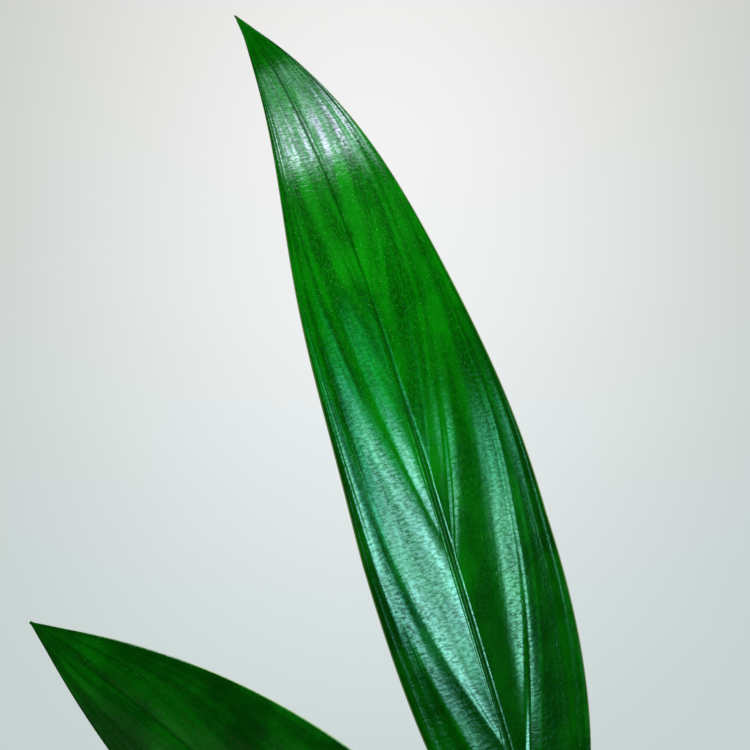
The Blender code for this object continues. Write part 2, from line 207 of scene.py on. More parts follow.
def new_group(name, inputs, outputs):
    """An empty shader node group with these named sockets, and its input and output nodes."""
    tree = bpy.data.node_groups.new(name, "ShaderNodeTree")
    for direction, sockets in (("INPUT", inputs), ("OUTPUT", outputs)):
        for key, kind in sockets.items():
            tree.interface.new_socket(name=key, in_out=direction, socket_type="NodeSocket" + kind)
    return tree, tree.nodes.new("NodeGroupInput").outputs, tree.nodes.new("NodeGroupOutput").inputs


def add_group(tree, group, inputs):
    """A node group placed in a material, with its own values."""
    made = tree.nodes.new("ShaderNodeGroup")
    made.node_tree = group
    feed(tree, made, inputs)
    return made.outputs


def earthy_group():
    """Mottling and grain of fired clay, soil, bark and roots: Mottle is a share made of broad and small
    blotches, and Grain is a height made of fine pits."""
    inputs = {"Place": "Vector", "Blotch Scale": "Float", "Grain Scale": "Float"}
    tree, given, out = new_group("earthy", inputs, {"Mottle": "Float", "Grain": "Float"})
    broad = node(tree, "TexNoise", {"Vector": given["Place"], "Scale": given["Blotch Scale"], "Detail": 4.0})
    small = times(tree, given["Blotch Scale"], 5.0)
    small = node(tree, "TexNoise", {"Vector": given["Place"], "Scale": small, "Detail": 3.0})
    both = sums(tree, "ADD", broad.outputs[0], small.outputs[0])
    tree.links.new(window(tree, both, 0.78, 1.22), out["Mottle"])
    pits = {"Vector": given["Place"], "Scale": given["Grain Scale"], "Detail": 5.0, "Roughness": 0.65}
    tree.links.new(node(tree, "TexNoise", pits).outputs[0], out["Grain"])
    return tree


def new_material(name):
    """An empty material: its node tree and its Principled shader."""
    material = bpy.data.materials.new(name)
    material.use_nodes = True
    return material, material.node_tree, material.node_tree.nodes["Principled BSDF"]


def set_surface(tree, shader, colour, roughness, height, depth):
    """Links a colour and a roughness into the shader, and a height as a bump of that depth in metres."""
    tree.links.new(colour, shader.inputs["Base Color"])
    tree.links.new(roughness, shader.inputs["Roughness"])
    bump = node(tree, "Bump", {"Height": height, "Distance": depth, "Strength": 1.0})
    tree.links.new(bump.outputs["Normal"], shader.inputs["Normal"])


def between(tree, share, low, high):
    """A value from low to high by the share."""
    return node(tree, "MapRange", {"Value": share, "To Min": low, "To Max": high}).outputs["Result"]


EARTHY = earthy_group()
CLAY = (0.42, 0.155, 0.075)
CLAY_PALE = (0.58, 0.26, 0.15)
CLAY_DARK = (0.27, 0.09, 0.045)
SALT = (0.66, 0.56, 0.47)


def clay_material():
    """Terracotta: blotches of darker and paler clay, fine grain, rubbed edges, and a bloom of salt low on
    the wall and under the rim."""
    material, tree, shader = new_material("terracotta")
    place = node(tree, "TexCoord").outputs["Object"]
    earthy = add_group(tree, EARTHY, {"Place": place, "Blotch Scale": 28.0, "Grain Scale": 1300.0})
    colour = blend_colour(tree, earthy["Mottle"], CLAY_DARK, CLAY)
    speckle = window(tree, noise(tree, place, 1.1 * MM, 2.0), 0.6, 0.75)
    colour = blend_colour(tree, times(tree, speckle, 0.4), colour, CLAY_PALE)
    cloudy = window(tree, noise(tree, place, 17 * MM, 6.0), 0.46, 0.68)
    bloom = times(tree, stored(tree, "bloom"), cloudy)
    crust = window(tree, noise(tree, place, 2.2 * MM, 3.0), 0.35, 0.7)
    bloom = times(tree, bloom, between(tree, crust, 0.3, 1.0))
    colour = blend_colour(tree, times(tree, bloom, 0.75), colour, SALT)
    rubbed = times(tree, stored(tree, "rubbed"), between(tree, earthy["Mottle"], 0.2, 0.9))
    colour = blend_colour(tree, rubbed, colour, CLAY_PALE)
    damp = times(tree, stored(tree, "damp"), 0.6)
    colour = blend_colour(tree, damp, colour, CLAY_DARK)
    roughness = between(tree, earthy["Mottle"], 0.72, 0.88)
    height = sums(tree, "ADD", earthy["Grain"], times(tree, crust, 0.35))
    set_surface(tree, shader, colour, roughness, height, 0.16 * MM)
    return material


def pot_inner_radius(height):
    """The pot's inner radius at a height: the outer wall's straight taper less the wall."""
    return POT_FOOT_RADIUS + (POT_TOP_RADIUS - POT_FOOT_RADIUS) * height / POT_HEIGHT - POT_WALL


def drill_drains(pot):
    """Four round drills, each a circle carried straight up, cut their way through the pot's floor. They are
    turned by a hair, so that no edge of a drill falls on an edge of the pot."""
    turn = np.linspace(0, math.tau, DRAIN_STEPS, endpoint=False) + DRILL_TURN
    rod = np.stack([np.cos(turn), np.sin(turn), 0 * turn], axis=-1) * DRAIN_RADIUS
    ends = np.array([[0, 0, -POT_FLOOR], [0, 0, 2 * POT_FLOOR]])
    for quarter in range(4):
        angle = math.tau * (quarter + 0.5) / 4
        middle = np.array([math.cos(angle), math.sin(angle), 0.0]) * DRAIN_CIRCLE
        drill_mesh = new_mesh("drain_drill", *closed_skin(rod[None] + middle + ends[:, None, :]))
        drill = bpy.data.objects.new("drain_drill", drill_mesh)
        bpy.context.scene.collection.objects.link(drill)
        cut = pot.modifiers.new("Drain hole", "BOOLEAN")
        cut.operation = "DIFFERENCE"
        cut.solver = "EXACT"
        cut.object = drill
        bpy.context.view_layer.update()
        ready = bpy.data.meshes.new_from_object(pot.evaluated_get(bpy.context.evaluated_depsgraph_get()))
        pot.modifiers.clear()
        pot.data = ready
        bpy.data.objects.remove(drill, do_unlink=True)


def make_pot():
    """The pot's outline, from the middle of its floor over the rim to the middle of its underside, is
    carried round Z. Fine random rings stand off the wall, and the whole is a hair out of round."""
    band = POT_HEIGHT - RIM_HEIGHT
    outer_at_band = pot_inner_radius(band) + POT_WALL
    corners = [
        (POT_MIDDLE, POT_FLOOR),
        (pot_inner_radius(POT_FLOOR), POT_FLOOR),
        (pot_inner_radius(POT_HEIGHT), POT_HEIGHT),
        (POT_TOP_RADIUS + RIM_PROUD, POT_HEIGHT),
        (outer_at_band + RIM_PROUD, band),
        (outer_at_band, band),
        (POT_FOOT_RADIUS, 0.0),
        (POT_MIDDLE, 0.0),
    ]
    outline = rounded_line(corners, POT_EDGE_RADIUS, POT_ROW)
    radius, height = outline[:, :1], outline[:, 1:]
    turn = np.linspace(0, math.tau, POT_STEPS, endpoint=False)[None, :]
    wall = smooth_step(height, 2 * MM, 8 * MM) * (1 - smooth_step(height, 108 * MM, 111 * MM))
    marks = wander(height, 2.6 * MM, 3) + 0.5 * wander(height + 0.4 * MM * turn, 1.4 * MM, 4)
    swing = OUT_OF_ROUND * np.cos(2 * turn + 0.6) * smooth_step(height, 0, POT_HEIGHT)
    full = radius + wall * (TURNING_MARKS * marks + swing)
    rings = np.stack([full * np.cos(turn), full * np.sin(turn), height + 0 * turn], axis=-1)
    points, faces = closed_skin(rings)
    edge_places = np.array(corners[2:5])
    near = np.linalg.norm(outline[:, None, :] - edge_places[None], axis=-1).min(axis=1)[:, None]
    outside = (np.arange(len(outline)) > np.argmax(outline[:, 0]))[:, None]
    low = 1 - smooth_step(height, 6 * MM, 60 * MM)
    under_band = np.exp(-(((height - band + 6 * MM) / (9 * MM)) ** 2))
    bloom = outside * np.maximum(low, 0.8 * under_band)
    inside = (np.arange(len(outline)) < np.argmax(outline[:, 1]))[:, None]
    damp = inside * (1 - smooth_step(height, 97 * MM, 103 * MM))
    spread = np.ones_like(turn)
    pot = add_piece(
        "clay_pot", points, faces, clay_material(), "terracotta", ["pot"],
        rubbed=with_middles(np.exp(-((near / (1.5 * MM)) ** 2)) * spread),
        bloom=with_middles(bloom * spread),
        damp=with_middles(damp * spread),
    )
    drill_drains(pot)
    pot.data.set_sharp_from_angle(angle=math.radians(50))


make_pot()

# The soil
# Crumbly peat mix pressed into the pot to just under its rim, a little higher in the middle. White
# perlite grains, bark bits and loose crumbs lie half sunk in its top.
SOIL_TOP = 97 * MM
SOIL_CROWN = 2.5 * MM
SOIL_GAP = 0.3 * MM
SOIL_STEPS = 220
SOIL_ROW = 0.75 * MM
SOIL_RELIEF = 1.2 * MM
CRUMBS = 900
PERLITE_GRAINS = 170
BARK_BITS = 60
SOIL_DARK = (0.010, 0.0065, 0.0045)
SOIL_BROWN = (0.050, 0.028, 0.015)
CRUMB_BROWN = (0.062, 0.034, 0.018)
PERLITE_GREY = (0.42, 0.39, 0.34)
PERLITE_WHITE = (0.74, 0.72, 0.68)
BARK_DARK = (0.035, 0.016, 0.008)
BARK_BROWN = (0.13, 0.065, 0.032)


def hills(x, y, size, seed):
    """Smooth random heights over a plane, from -1 to 1: random values at the corners of a square net of
    the size, joined by even S bends both ways."""
    heights = np.random.default_rng(seed).uniform(-1, 1, (256, 256))
    column, row = x / size + 128, y / size + 128
    i, j = np.floor(column).astype(int) % 255, np.floor(row).astype(int) % 255
    a, b = column - np.floor(column), row - np.floor(row)
    a, b = a * a * (3 - 2 * a), b * b * (3 - 2 * b)
    near = heights[i, j] * (1 - a) + heights[i + 1, j] * a
    far = heights[i, j + 1] * (1 - a) + heights[i + 1, j + 1] * a
    return near * (1 - b) + far * b


def soil_height(x, y):
    """The height of the soil's top: a low crown, with lumps of three sizes that die out at the pot's wall."""
    share = np.hypot(x, y) / (pot_inner_radius(SOIL_TOP) - SOIL_GAP)
    lumps = hills(x, y, 9 * MM, 11) + 0.6 * hills(x, y, 3.4 * MM, 12) + 0.35 * hills(x, y, 1.3 * MM, 13)
    calm = 1 - smooth_step(share, 0.93, 1.0)
    return SOIL_TOP + SOIL_CROWN * (1 - np.minimum(share, 1) ** 2) + SOIL_RELIEF * 0.55 * lumps * calm


def soil_material(name, dark, light, blotch, grain, depth):
    """Potting mix: dark and brown crumbs, and a rough matt surface. The dry ones among them are paler."""
    material, tree, shader = new_material(name)
    place = node(tree, "TexCoord").outputs["Object"]
    earthy = add_group(tree, EARTHY, {"Place": place, "Blotch Scale": blotch, "Grain Scale": grain})
    colour = blend_colour(tree, earthy["Mottle"], dark, light)
    dusty = window(tree, earthy["Grain"], 0.5, 0.7)
    paler = tuple(min(1.0, channel * 1.9 + 0.01) for channel in light)
    colour = blend_colour(tree, times(tree, dusty, 0.45), colour, paler)
    set_surface(tree, shader, colour, between(tree, earthy["Mottle"], 0.8, 0.98), earthy["Grain"], depth)
    return material


def make_soil():
    """A turned body with the pot's inner taper, whose top follows soil_height."""
    floor = POT_FLOOR + SOIL_GAP
    edge = pot_inner_radius(SOIL_TOP) - SOIL_GAP
    rim = np.linspace(POT_MIDDLE, edge, int(edge / SOIL_ROW))
    top = np.stack([rim, np.full_like(rim, SOIL_TOP)], axis=-1)
    corners = [(edge, SOIL_TOP), (pot_inner_radius(floor) - SOIL_GAP, floor), (POT_MIDDLE, floor)]
    side = rounded_line(corners, 3 * MM, 6 * MM)[1:]
    outline = np.vstack([top, side])
    turn = np.linspace(0, math.tau, SOIL_STEPS, endpoint=False)[None, :]
    x, y = outline[:, :1] * np.cos(turn), outline[:, :1] * np.sin(turn)
    z = np.where((np.arange(len(outline)) < len(rim))[:, None], soil_height(x, y), outline[:, 1:])
    points, faces = closed_skin(np.stack([x, y, z], axis=-1))
    material = soil_material("potting_mix", SOIL_DARK, SOIL_BROWN, blotch=160.0, grain=1500.0, depth=0.5 * MM)
    add_piece("soil_body", points, faces, material, "potting_mix", ["potting_soil"])


def icosahedron():
    """The 12 corners of an icosahedron of radius 1, on three golden rectangles, and its 20 faces: the
    triples of corners that lie one edge length apart."""
    long = (1 + math.sqrt(5)) / 2
    flat = np.array([(0, a, b * long) for a in (-1, 1) for b in (-1, 1)], float)
    corners = np.vstack([flat, flat[:, [1, 2, 0]], flat[:, [2, 0, 1]]])
    apart = np.linalg.norm(corners[:, None] - corners[None], axis=-1)
    close = (apart > 0.1) & (apart < 2.1)
    triples = [(i, j, k) for i in range(12) for j in range(i) for k in range(j)]
    faces = np.array([t for t in triples if close[t[0], t[1]] and close[t[1], t[2]] and close[t[0], t[2]]])
    a, b, c = (corners[faces[:, k]] for k in range(3))
    inward = np.einsum("ij,ij->i", np.cross(b - a, c - a), a) < 0
    faces[inward] = faces[inward][:, ::-1]
    return corners / np.linalg.norm(corners[0]), faces


def scatter(name, count, sizes, shape, sunk, material, seed):
    """Lumps strewn on the soil: icosahedra with each corner pushed in or out at random, stretched by the
    shape, turned at random and sunk into the soil by a share of their size."""
    rng = np.random.default_rng(seed)
    base, triangles = icosahedron()
    reach = pot_inner_radius(SOIL_TOP) - 3 * MM
    away, turn = reach * np.sqrt(rng.uniform(0.0, 1, count)), rng.uniform(0, math.tau, count)
    x, y = away * np.cos(turn), away * np.sin(turn)
    size = rng.uniform(*sizes, count)
    lumps = base[None] * rng.uniform(0.72, 1.2, (count, 12, 1)) * np.array(shape)
    spin, tip = rng.uniform(0, math.tau, count), rng.normal(0, 0.35, count)
    lumps = lumps * size[:, None, None]
    up_x, up_z = lumps[..., 0].copy(), lumps[..., 2].copy()
    lumps[..., 0] = up_x * np.cos(tip)[:, None] + up_z * np.sin(tip)[:, None]
    lumps[..., 2] = up_z * np.cos(tip)[:, None] - up_x * np.sin(tip)[:, None]
    flat_x, flat_y = lumps[..., 0].copy(), lumps[..., 1].copy()
    lumps[..., 0] = flat_x * np.cos(spin)[:, None] - flat_y * np.sin(spin)[:, None]
    lumps[..., 1] = flat_x * np.sin(spin)[:, None] + flat_y * np.cos(spin)[:, None]
    ground = soil_height(x, y) + size * shape[2] * (1 - 2 * sunk)
    points = lumps + np.stack([x, y, ground], axis=-1)[:, None, :]
    faces = triangles[None] + 12 * np.arange(count)[:, None, None]
    piece = add_piece(name, points.reshape(-1, 3), [faces.reshape(-1, 3)], material, "potting_mix")
    piece.data.set_sharp_from_angle(angle=math.radians(35))


make_soil()
crumb_skin = soil_material("soil_crumbs", SOIL_DARK, CRUMB_BROWN, blotch=300.0, grain=1800.0, depth=0.4 * MM)
perlite_skin = soil_material(
    "perlite", PERLITE_GREY, PERLITE_WHITE, blotch=260.0, grain=2600.0, depth=0.25 * MM
)
bark_skin = soil_material("bark_bits", BARK_DARK, BARK_BROWN, blotch=240.0, grain=1400.0, depth=0.4 * MM)
scatter(
    "soil_crumbs", CRUMBS, sizes=(0.7 * MM, 2.1 * MM), shape=(1.0, 0.9, 0.75), sunk=0.4,
    material=crumb_skin, seed=21,
)
scatter(
    "perlite_grains", PERLITE_GRAINS, sizes=(0.6 * MM, 1.9 * MM), shape=(1.0, 0.85, 0.8), sunk=0.45,
    material=perlite_skin, seed=22,
)
scatter(
    "bark_bits", BARK_BITS, sizes=(1.6 * MM, 3.6 * MM), shape=(1.5, 0.7, 0.32), sunk=0.35,
    material=bark_skin, seed=23,
)

# The vines
# Three rooted cuttings: green stems nearly as thick as a pencil, with a ringed knot wherever a leaf or a
# root leaves them. They stand in the soil, and their cut or grown tips are closed by a dry sheath.
VINE_DEPTH = 12 * MM
VINE_ZIGZAG = 1.1 * MM
VINE_SWINGS = 3
VINE_COLUMNS = 40
VINE_ROW = 0.4 * MM
KNOT_SWELL = 0.4 * MM
KNOT_RING = 0.22 * MM
VINE_GREEN = (0.060, 0.150, 0.022)
VINE_PALE = (0.130, 0.230, 0.055)
SCAR_BROWN = (0.110, 0.058, 0.022)

# Each vine in millimetres: where it leaves the soil, its tip, its radius at both, and its knots' heights.
VINES = {
    "rear": {
        "foot": (7, 12), "tip": (3, 8, 150), "radius": (3.3, 2.4), "knots": (114, 124, 134, 142),
    },
    "right": {
        "foot": (20, -15), "tip": (24, -20, 128), "radius": (3.1, 2.3), "knots": (106, 108, 114, 120, 126),
    },
    "left": {
        "foot": (-19, -3), "tip": (-26, 1, 136), "radius": (3.2, 2.3), "knots": (112, 116, 120, 125, 130),
    },
}


def vine_middle(vine, height):
    """The vine's middle line and its radius at the heights. The line is straight from its foot to its tip,
    with a slight zigzag, and the radius shrinks evenly."""
    foot, tip = np.array([*vine["foot"], SOIL_TOP / MM]) * MM, np.array(vine["tip"]) * MM
    share = (height - SOIL_TOP) / (tip[2] - SOIL_TOP)
    swing = np.where(share > 0, np.sin(share * VINE_SWINGS * math.pi), 0.0) * VINE_ZIGZAG
    x = foot[0] + (tip[0] - foot[0]) * np.maximum(share, 0) + swing
    y = foot[1] + (tip[1] - foot[1]) * np.maximum(share, 0) - 0.6 * swing
    wide, slim = np.array(vine["radius"]) * MM
    return np.stack([x, y, height], axis=-1), wide + (slim - wide) * np.clip(share, 0, 1)


def stem_material():
    """A living stem: green with paler streaks along it, and brown corky scars at its knots and its foot."""
    material, tree, shader = new_material("green_vine")
    place = node(tree, "TexCoord").outputs["Object"]
    drawn = node(tree, "Mapping", {"Vector": place, "Scale": (1.0, 1.0, 0.12)}).outputs[0]
    streaks = window(tree, noise(tree, drawn, 0.8 * MM, 2.0), 0.35, 0.7)
    colour = blend_colour(tree, streaks, VINE_GREEN, VINE_PALE)
    earthy = add_group(tree, EARTHY, {"Place": place, "Blotch Scale": 420.0, "Grain Scale": 2400.0})
    corky = times(tree, stored(tree, "cork"), between(tree, earthy["Mottle"], 0.4, 1.2))
    colour = blend_colour(tree, corky, colour, SCAR_BROWN)
    roughness = between(tree, stored(tree, "cork"), 0.38, 0.8)
    set_surface(tree, shader, colour, roughness, earthy["Grain"], 0.12 * MM)
    return material


def make_vine(name, vine, material):
    """Rings around the vine's line. Their radius swells at each knot, dips in a ring groove just above it
    and rounds off at the tip, and five shallow ribs run along the stem."""
    tip = vine["tip"][2] * MM
    height = np.arange(SOIL_TOP - VINE_DEPTH, tip, VINE_ROW)
    middle, radius = vine_middle(vine, height)
    end = np.clip((tip - height) / (1.6 * MM), 0, 1)
    radius = radius * np.sqrt(1 - (1 - end) ** 2 * 0.92)
    turn = np.linspace(0, math.tau, VINE_COLUMNS, endpoint=False)[None, :]
    knots = np.array(vine["knots"])[:, None] * MM
    swell = np.exp(-(((height - knots) / (1.7 * MM)) ** 2)).sum(axis=0)
    ring = np.exp(-(((height - knots - 2.4 * MM) / (0.45 * MM)) ** 2)).sum(axis=0)
    ribs = 0.012 * np.cos(5 * turn + 30 * height[:, None] / SOIL_TOP)
    full = (radius + KNOT_SWELL * swell - KNOT_RING * ring)[:, None] * (1 + ribs)
    across = np.stack([np.cos(turn), np.sin(turn), 0 * turn], axis=-1)
    rings = middle[:, None, :] + full[..., None] * across
    at_soil = 1 - smooth_step(height, SOIL_TOP, SOIL_TOP + 9 * MM)
    cork = np.maximum(0.85 * ring, 0.35 * swell) + 0.7 * at_soil
    cork = np.maximum(cork, 0.9 * smooth_step(height, tip - 1.5 * MM, tip))
    points, faces = closed_skin(rings)
    cork = with_middles(np.clip(cork, 0, 1)[:, None] + 0 * turn)
    add_piece("stem_" + name, points, faces, material, "green_vine", ["vine_" + name], cork=cork)


STEM_SKIN = stem_material()
for vine_name, vine in VINES.items():
    make_vine(vine_name, vine, STEM_SKIN)

# The aerial roots
# Each knot can push out a stubby brown root. It leaves the stem level, turns down towards the soil and
# has a dry, finely wrinkled skin and a blunt, paler end. Lengths in millimetres, headings in degrees.
ROOTS = [
    {"vine": "rear", "knot": 114, "heading": 120, "reach": 16, "end": 99.8, "radius": 1.1},
    {"vine": "right", "knot": 106, "heading": -20, "reach": 15, "end": 99.4, "radius": 1.0},
    {"vine": "left", "knot": 116, "heading": 170, "reach": 17, "end": 99.3, "radius": 1.1},
    {"vine": "left", "knot": 125, "heading": 40, "reach": 12, "end": 113, "radius": 0.9},
]
ROOT_SPREAD = 2 * MM
ROOT_TAPER = 0.35
ROOT_ROWS = 90
ROOT_COLUMNS = 20
ROOT_DARK = (0.085, 0.040, 0.018)
ROOT_PALE = (0.270, 0.160, 0.080)
ROOT_GROWING = (0.33, 0.27, 0.13)


def carried_round(line, radii, upper):
    """Rings of a profile carried along a line. radii holds each ring's radius round its turn, which starts
    from the upper side and goes round the line's direction."""
    along = np.gradient(line, axis=0)
    along /= np.linalg.norm(along, axis=1)[:, None]
    upper = upper - np.einsum("ij,ij->i", upper + 0 * along, along)[:, None] * along
    upper /= np.linalg.norm(upper, axis=1)[:, None]
    aside = np.cross(along, upper)
    turn = np.linspace(0, math.tau, radii.shape[1], endpoint=False)
    across = upper[:, None, :] * np.cos(turn)[None, :, None] + aside[:, None, :] * np.sin(turn)[None, :, None]
    return line[:, None, :] + radii[..., None] * across


def rounded_ends(share, start, end):
    """A factor for a tube's radii that closes its ends in a half round over the given shares."""
    opened = np.sqrt(1 - (1 - np.clip(share / start, 0, 1)) ** 2)
    closed = np.sqrt(1 - (1 - np.clip((1 - share) / end, 0, 1)) ** 2)
    return np.maximum(opened * closed, 0.04)


def root_material():
    """Dry root skin: matt, mottled brown, and paler towards the growing end."""
    material, tree, shader = new_material("root_brown")
    place = node(tree, "TexCoord").outputs["Object"]
    earthy = add_group(tree, EARTHY, {"Place": place, "Blotch Scale": 500.0, "Grain Scale": 2600.0})
    colour = blend_colour(tree, earthy["Mottle"], ROOT_DARK, ROOT_PALE)
    growing = times(tree, stored(tree, "growing"), 0.7)
    colour = blend_colour(tree, growing, colour, ROOT_GROWING)
    set_surface(tree, shader, colour, between(tree, earthy["Mottle"], 0.7, 0.9), earthy["Grain"], 0.2 * MM)
    return material


def make_root(number, root, material):
    """A bend of the second degree from the stem's side to the root's end, with random wrinkles around it."""
    vine = VINES[root["vine"]]
    middle, stem = vine_middle(vine, np.array([root["knot"] * MM]))
    heading = math.radians(root["heading"])
    flat = np.array([math.cos(heading), math.sin(heading), 0.0])
    start = middle[0] + flat * (stem[0] - 0.2 * MM)
    corner = middle[0] + flat * root["reach"] * MM
    end = corner + flat * ROOT_SPREAD
    end[2] = root["end"] * MM
    t = np.linspace(0, 1, ROOT_ROWS)[:, None]
    line = start * (1 - t) ** 2 + 2 * corner * t * (1 - t) + end * t**2
    turn = np.linspace(0, math.tau, ROOT_COLUMNS, endpoint=False)[None, :]
    wrinkles = 1 + 0.05 * wander(t, 0.012, 40 + number) + 0.03 * np.cos(3 * turn + 9 * t)
    collar = 0.45 * np.exp(-((t / 0.05) ** 2))
    radii = root["radius"] * MM * (1 - ROOT_TAPER * t + collar) * wrinkles * rounded_ends(t, 0.004, 0.05)
    aside = np.cross(flat, [0, 0, 1.0])
    points, faces = closed_skin(carried_round(line, radii, aside))
    growing = with_middles(smooth_step(t, 0.86, 1.0) + 0 * turn)
    name = f"root_{number}"
    add_piece(name, points, faces, material, "root_brown", [f"aerial_root_{number}"], growing=growing)


ROOT_SKIN = root_material()
for root_number, root in enumerate(ROOTS, start=1):
    make_root(root_number, root, ROOT_SKIN)

# The leaf stalks
# One slender green stalk carries each leaf. Its foot clasps the vine with a sheath whose two thin wings
# run up both sides of a channel, and it ends in a swollen, round joint just below the blade.
STALK_FOOT_RADIUS = 2.9 * MM
STALK_RADIUS = 1.75 * MM
STALK_JOINT_RADIUS = 2.05 * MM
STALK_CLASP_END = 0.35
STALK_ROWS = 150
STALK_COLUMNS = 44
CLASP_CLEARANCE = 0.38 * MM
SEATING = 1.6 * MM
STALK_GREEN = (0.035, 0.150, 0.012)
STALK_PALE = (0.090, 0.260, 0.030)
WING_PALE = (0.21, 0.30, 0.07)

# Each leaf, in millimetres and degrees: its vine and the height of its knot, where the blade's foot is,
# how steeply the stalk rises from the vine, and how the blade sets out: towards a direction with its face
# another way, or along a heading with a rise and a roll. Then the blade's length and width, the share by
# which its right half is wider, and how far it arches back and sweeps aside by its tip, with the power of
# the way by which it does. The fold is the angle at which its halves stand up, the curl the one by which
# they roll back, both at 0.4 of the length and with their change from there over a whole length. Then the
# outline: how it is pointed, drawn in and widened. From the fold to here a pair gives the left and the
# right half. The ripple is the height, number and start of the waves in its edge. Values that only some
# leaves have set how much painted shade darkens the green all over, how plain the veins and the groove
# are, how long the needle is and how much painted shade darkens the tip, and how strongly the leaf is
# quilted. The tall and the left leaf are those of the photo: a least-squares program fitted most values
# of their shape to it.
LEAVES = {
    "tall": {
        "vine": "rear", "knot": 142, "foot": (-0.3, 0, 232.4), "stalk_rise": 72,
        "towards": (-0.2922, 0.0875, 1.0), "face": (0.2079, -0.9781, 0.0),
        "length": 225.1, "width": 44.6, "wide": 0.11, "arch": (38, 4), "sweep": (-11.9, 5),
        "fold": (4.1, -6.6), "fold_change": (13.0, -7.1), "curl": (7.3, 10.6), "curl_change": (-1.3, -29.2),
        "point": (1.809, 1.993), "waist": (0.041, -0.028), "waves": (-0.042, 0.025), "low": (-0.013, 0.025),
        "widening": (1.007, 1.052), "ripple": (0.0, 2.0, 0.0), "painted_shade": 0.0, "veined": 0.8,
    },
    # The left leaf is darkened all over by painted shade, a little less at its tip.
    "left": {
        "vine": "right", "knot": 108, "foot": (19.4, -49.7, 168.4), "stalk_rise": 54,
        "towards": (-0.5486, -0.0974, 0.8364), "face": (-0.05, -1.0, 0.0),
        "length": 184.7, "width": 41.05, "wide": 0.136, "arch": (6, 2), "sweep": (-21.5, 1.268),
        "fold": 1, "curl": 5, "point": 3.02, "ripple": (0.3, 1.5, 1.0), "painted_shade": 0.95, "groove": 0.1,
        "veined": 0.15, "needle": 0.2, "tip_shade": -0.15, "quilted": 0.2,
    },
    "right": {
        "vine": "rear", "knot": 134, "foot": (66, 6, 212), "stalk_rise": 64,
        "heading": -8, "rise": 44, "roll": -16,
        "length": 206, "width": 44, "wide": -0.05, "arch": (82, 1.5), "sweep": (8, 2),
        "fold": 9, "curl": 24, "point": 2.1, "ripple": (1.2, 2.5, 0.4),
    },
    "front_right": {
        "vine": "right", "knot": 120, "foot": (56, -74, 166), "stalk_rise": 58,
        "heading": -50, "rise": 26, "roll": 8,
        "length": 188, "width": 43, "wide": 0.06, "arch": (72, 1.4), "sweep": (-10, 2),
        "fold": 9, "curl": 22, "point": 2.2, "ripple": (1.0, 2.0, 2.2),
    },
    "front_left": {
        "vine": "left", "knot": 112, "foot": (-38, -66, 154), "stalk_rise": 54,
        "heading": 238, "rise": 22, "roll": -10,
        "length": 176, "width": 41, "wide": -0.06, "arch": (70, 1.5), "sweep": (9, 2),
        "fold": 10, "curl": 22, "point": 2.0, "ripple": (1.1, 2.5, 0.9),
    },
    "back": {
        "vine": "rear", "knot": 124, "foot": (14, 76, 187), "stalk_rise": 62,
        "heading": 78, "rise": 29, "roll": 10,
        "length": 198, "width": 45, "wide": 0.05, "arch": (70, 1.4), "sweep": (-8, 2),
        "fold": 9, "curl": 24, "point": 2.0, "ripple": (1.2, 2.0, 3.0),
    },
    "back_left": {
        "vine": "left", "knot": 130, "foot": (-78, 44, 186), "stalk_rise": 58,
        "heading": 152, "rise": 34, "roll": -8,
        "length": 192, "width": 43, "wide": -0.07, "arch": (74, 1.5), "sweep": (-9, 2),
        "fold": 8, "curl": 24, "point": 2.15, "ripple": (1.1, 2.5, 1.7),
    },
    "low_left": {
        "vine": "left", "knot": 120, "foot": (-84, -22, 148), "stalk_rise": 46,
        "heading": 196, "rise": 16, "roll": 12,
        "length": 168, "width": 41, "wide": 0.06, "arch": (56, 1.4), "sweep": (8, 2),
        "fold": 10, "curl": 20, "point": 2.3, "ripple": (0.9, 2.0, 0.2),
    },
    "back_right": {
        "vine": "right", "knot": 126, "foot": (78, 46, 160), "stalk_rise": 52,
        "heading": 34, "rise": 24, "roll": 10,
        "length": 174, "width": 41, "wide": 0.05, "arch": (64, 1.4), "sweep": (10, 2),
        "fold": 9, "curl": 22, "point": 2.1, "ripple": (1.0, 2.5, 2.6),
    },
    "young": {
        "vine": "right", "knot": 114, "foot": (64, -27, 140), "stalk_rise": 48,
        "heading": -18, "rise": 20, "roll": -6,
        "length": 118, "width": 29, "wide": 0.04, "arch": (52, 1.4), "sweep": (-6, 2),
        "fold": 12, "curl": 18, "point": 2.0, "ripple": (0.6, 2.0, 1.2),
    },
}


def leaf_axes(leaf):
    """The blade's direction at its foot, its face there and its side, as unit vectors."""
    if "towards" in leaf:
        towards, face = np.array(leaf["towards"], float), np.array(leaf["face"], float)
        towards /= np.linalg.norm(towards)
    else:
        heading, rise, roll = (math.radians(leaf[key]) for key in ("heading", "rise", "roll"))
        flat = np.array([math.cos(heading), math.sin(heading), 0.0])
        towards = flat * math.cos(rise) + np.array([0.0, 0.0, math.sin(rise)])
        face = np.array([-flat[1] * math.sin(roll), flat[0] * math.sin(roll), math.cos(roll)])
    face = face - np.dot(face, towards) * towards
    face /= np.linalg.norm(face)
    return towards, face, np.cross(towards, face)


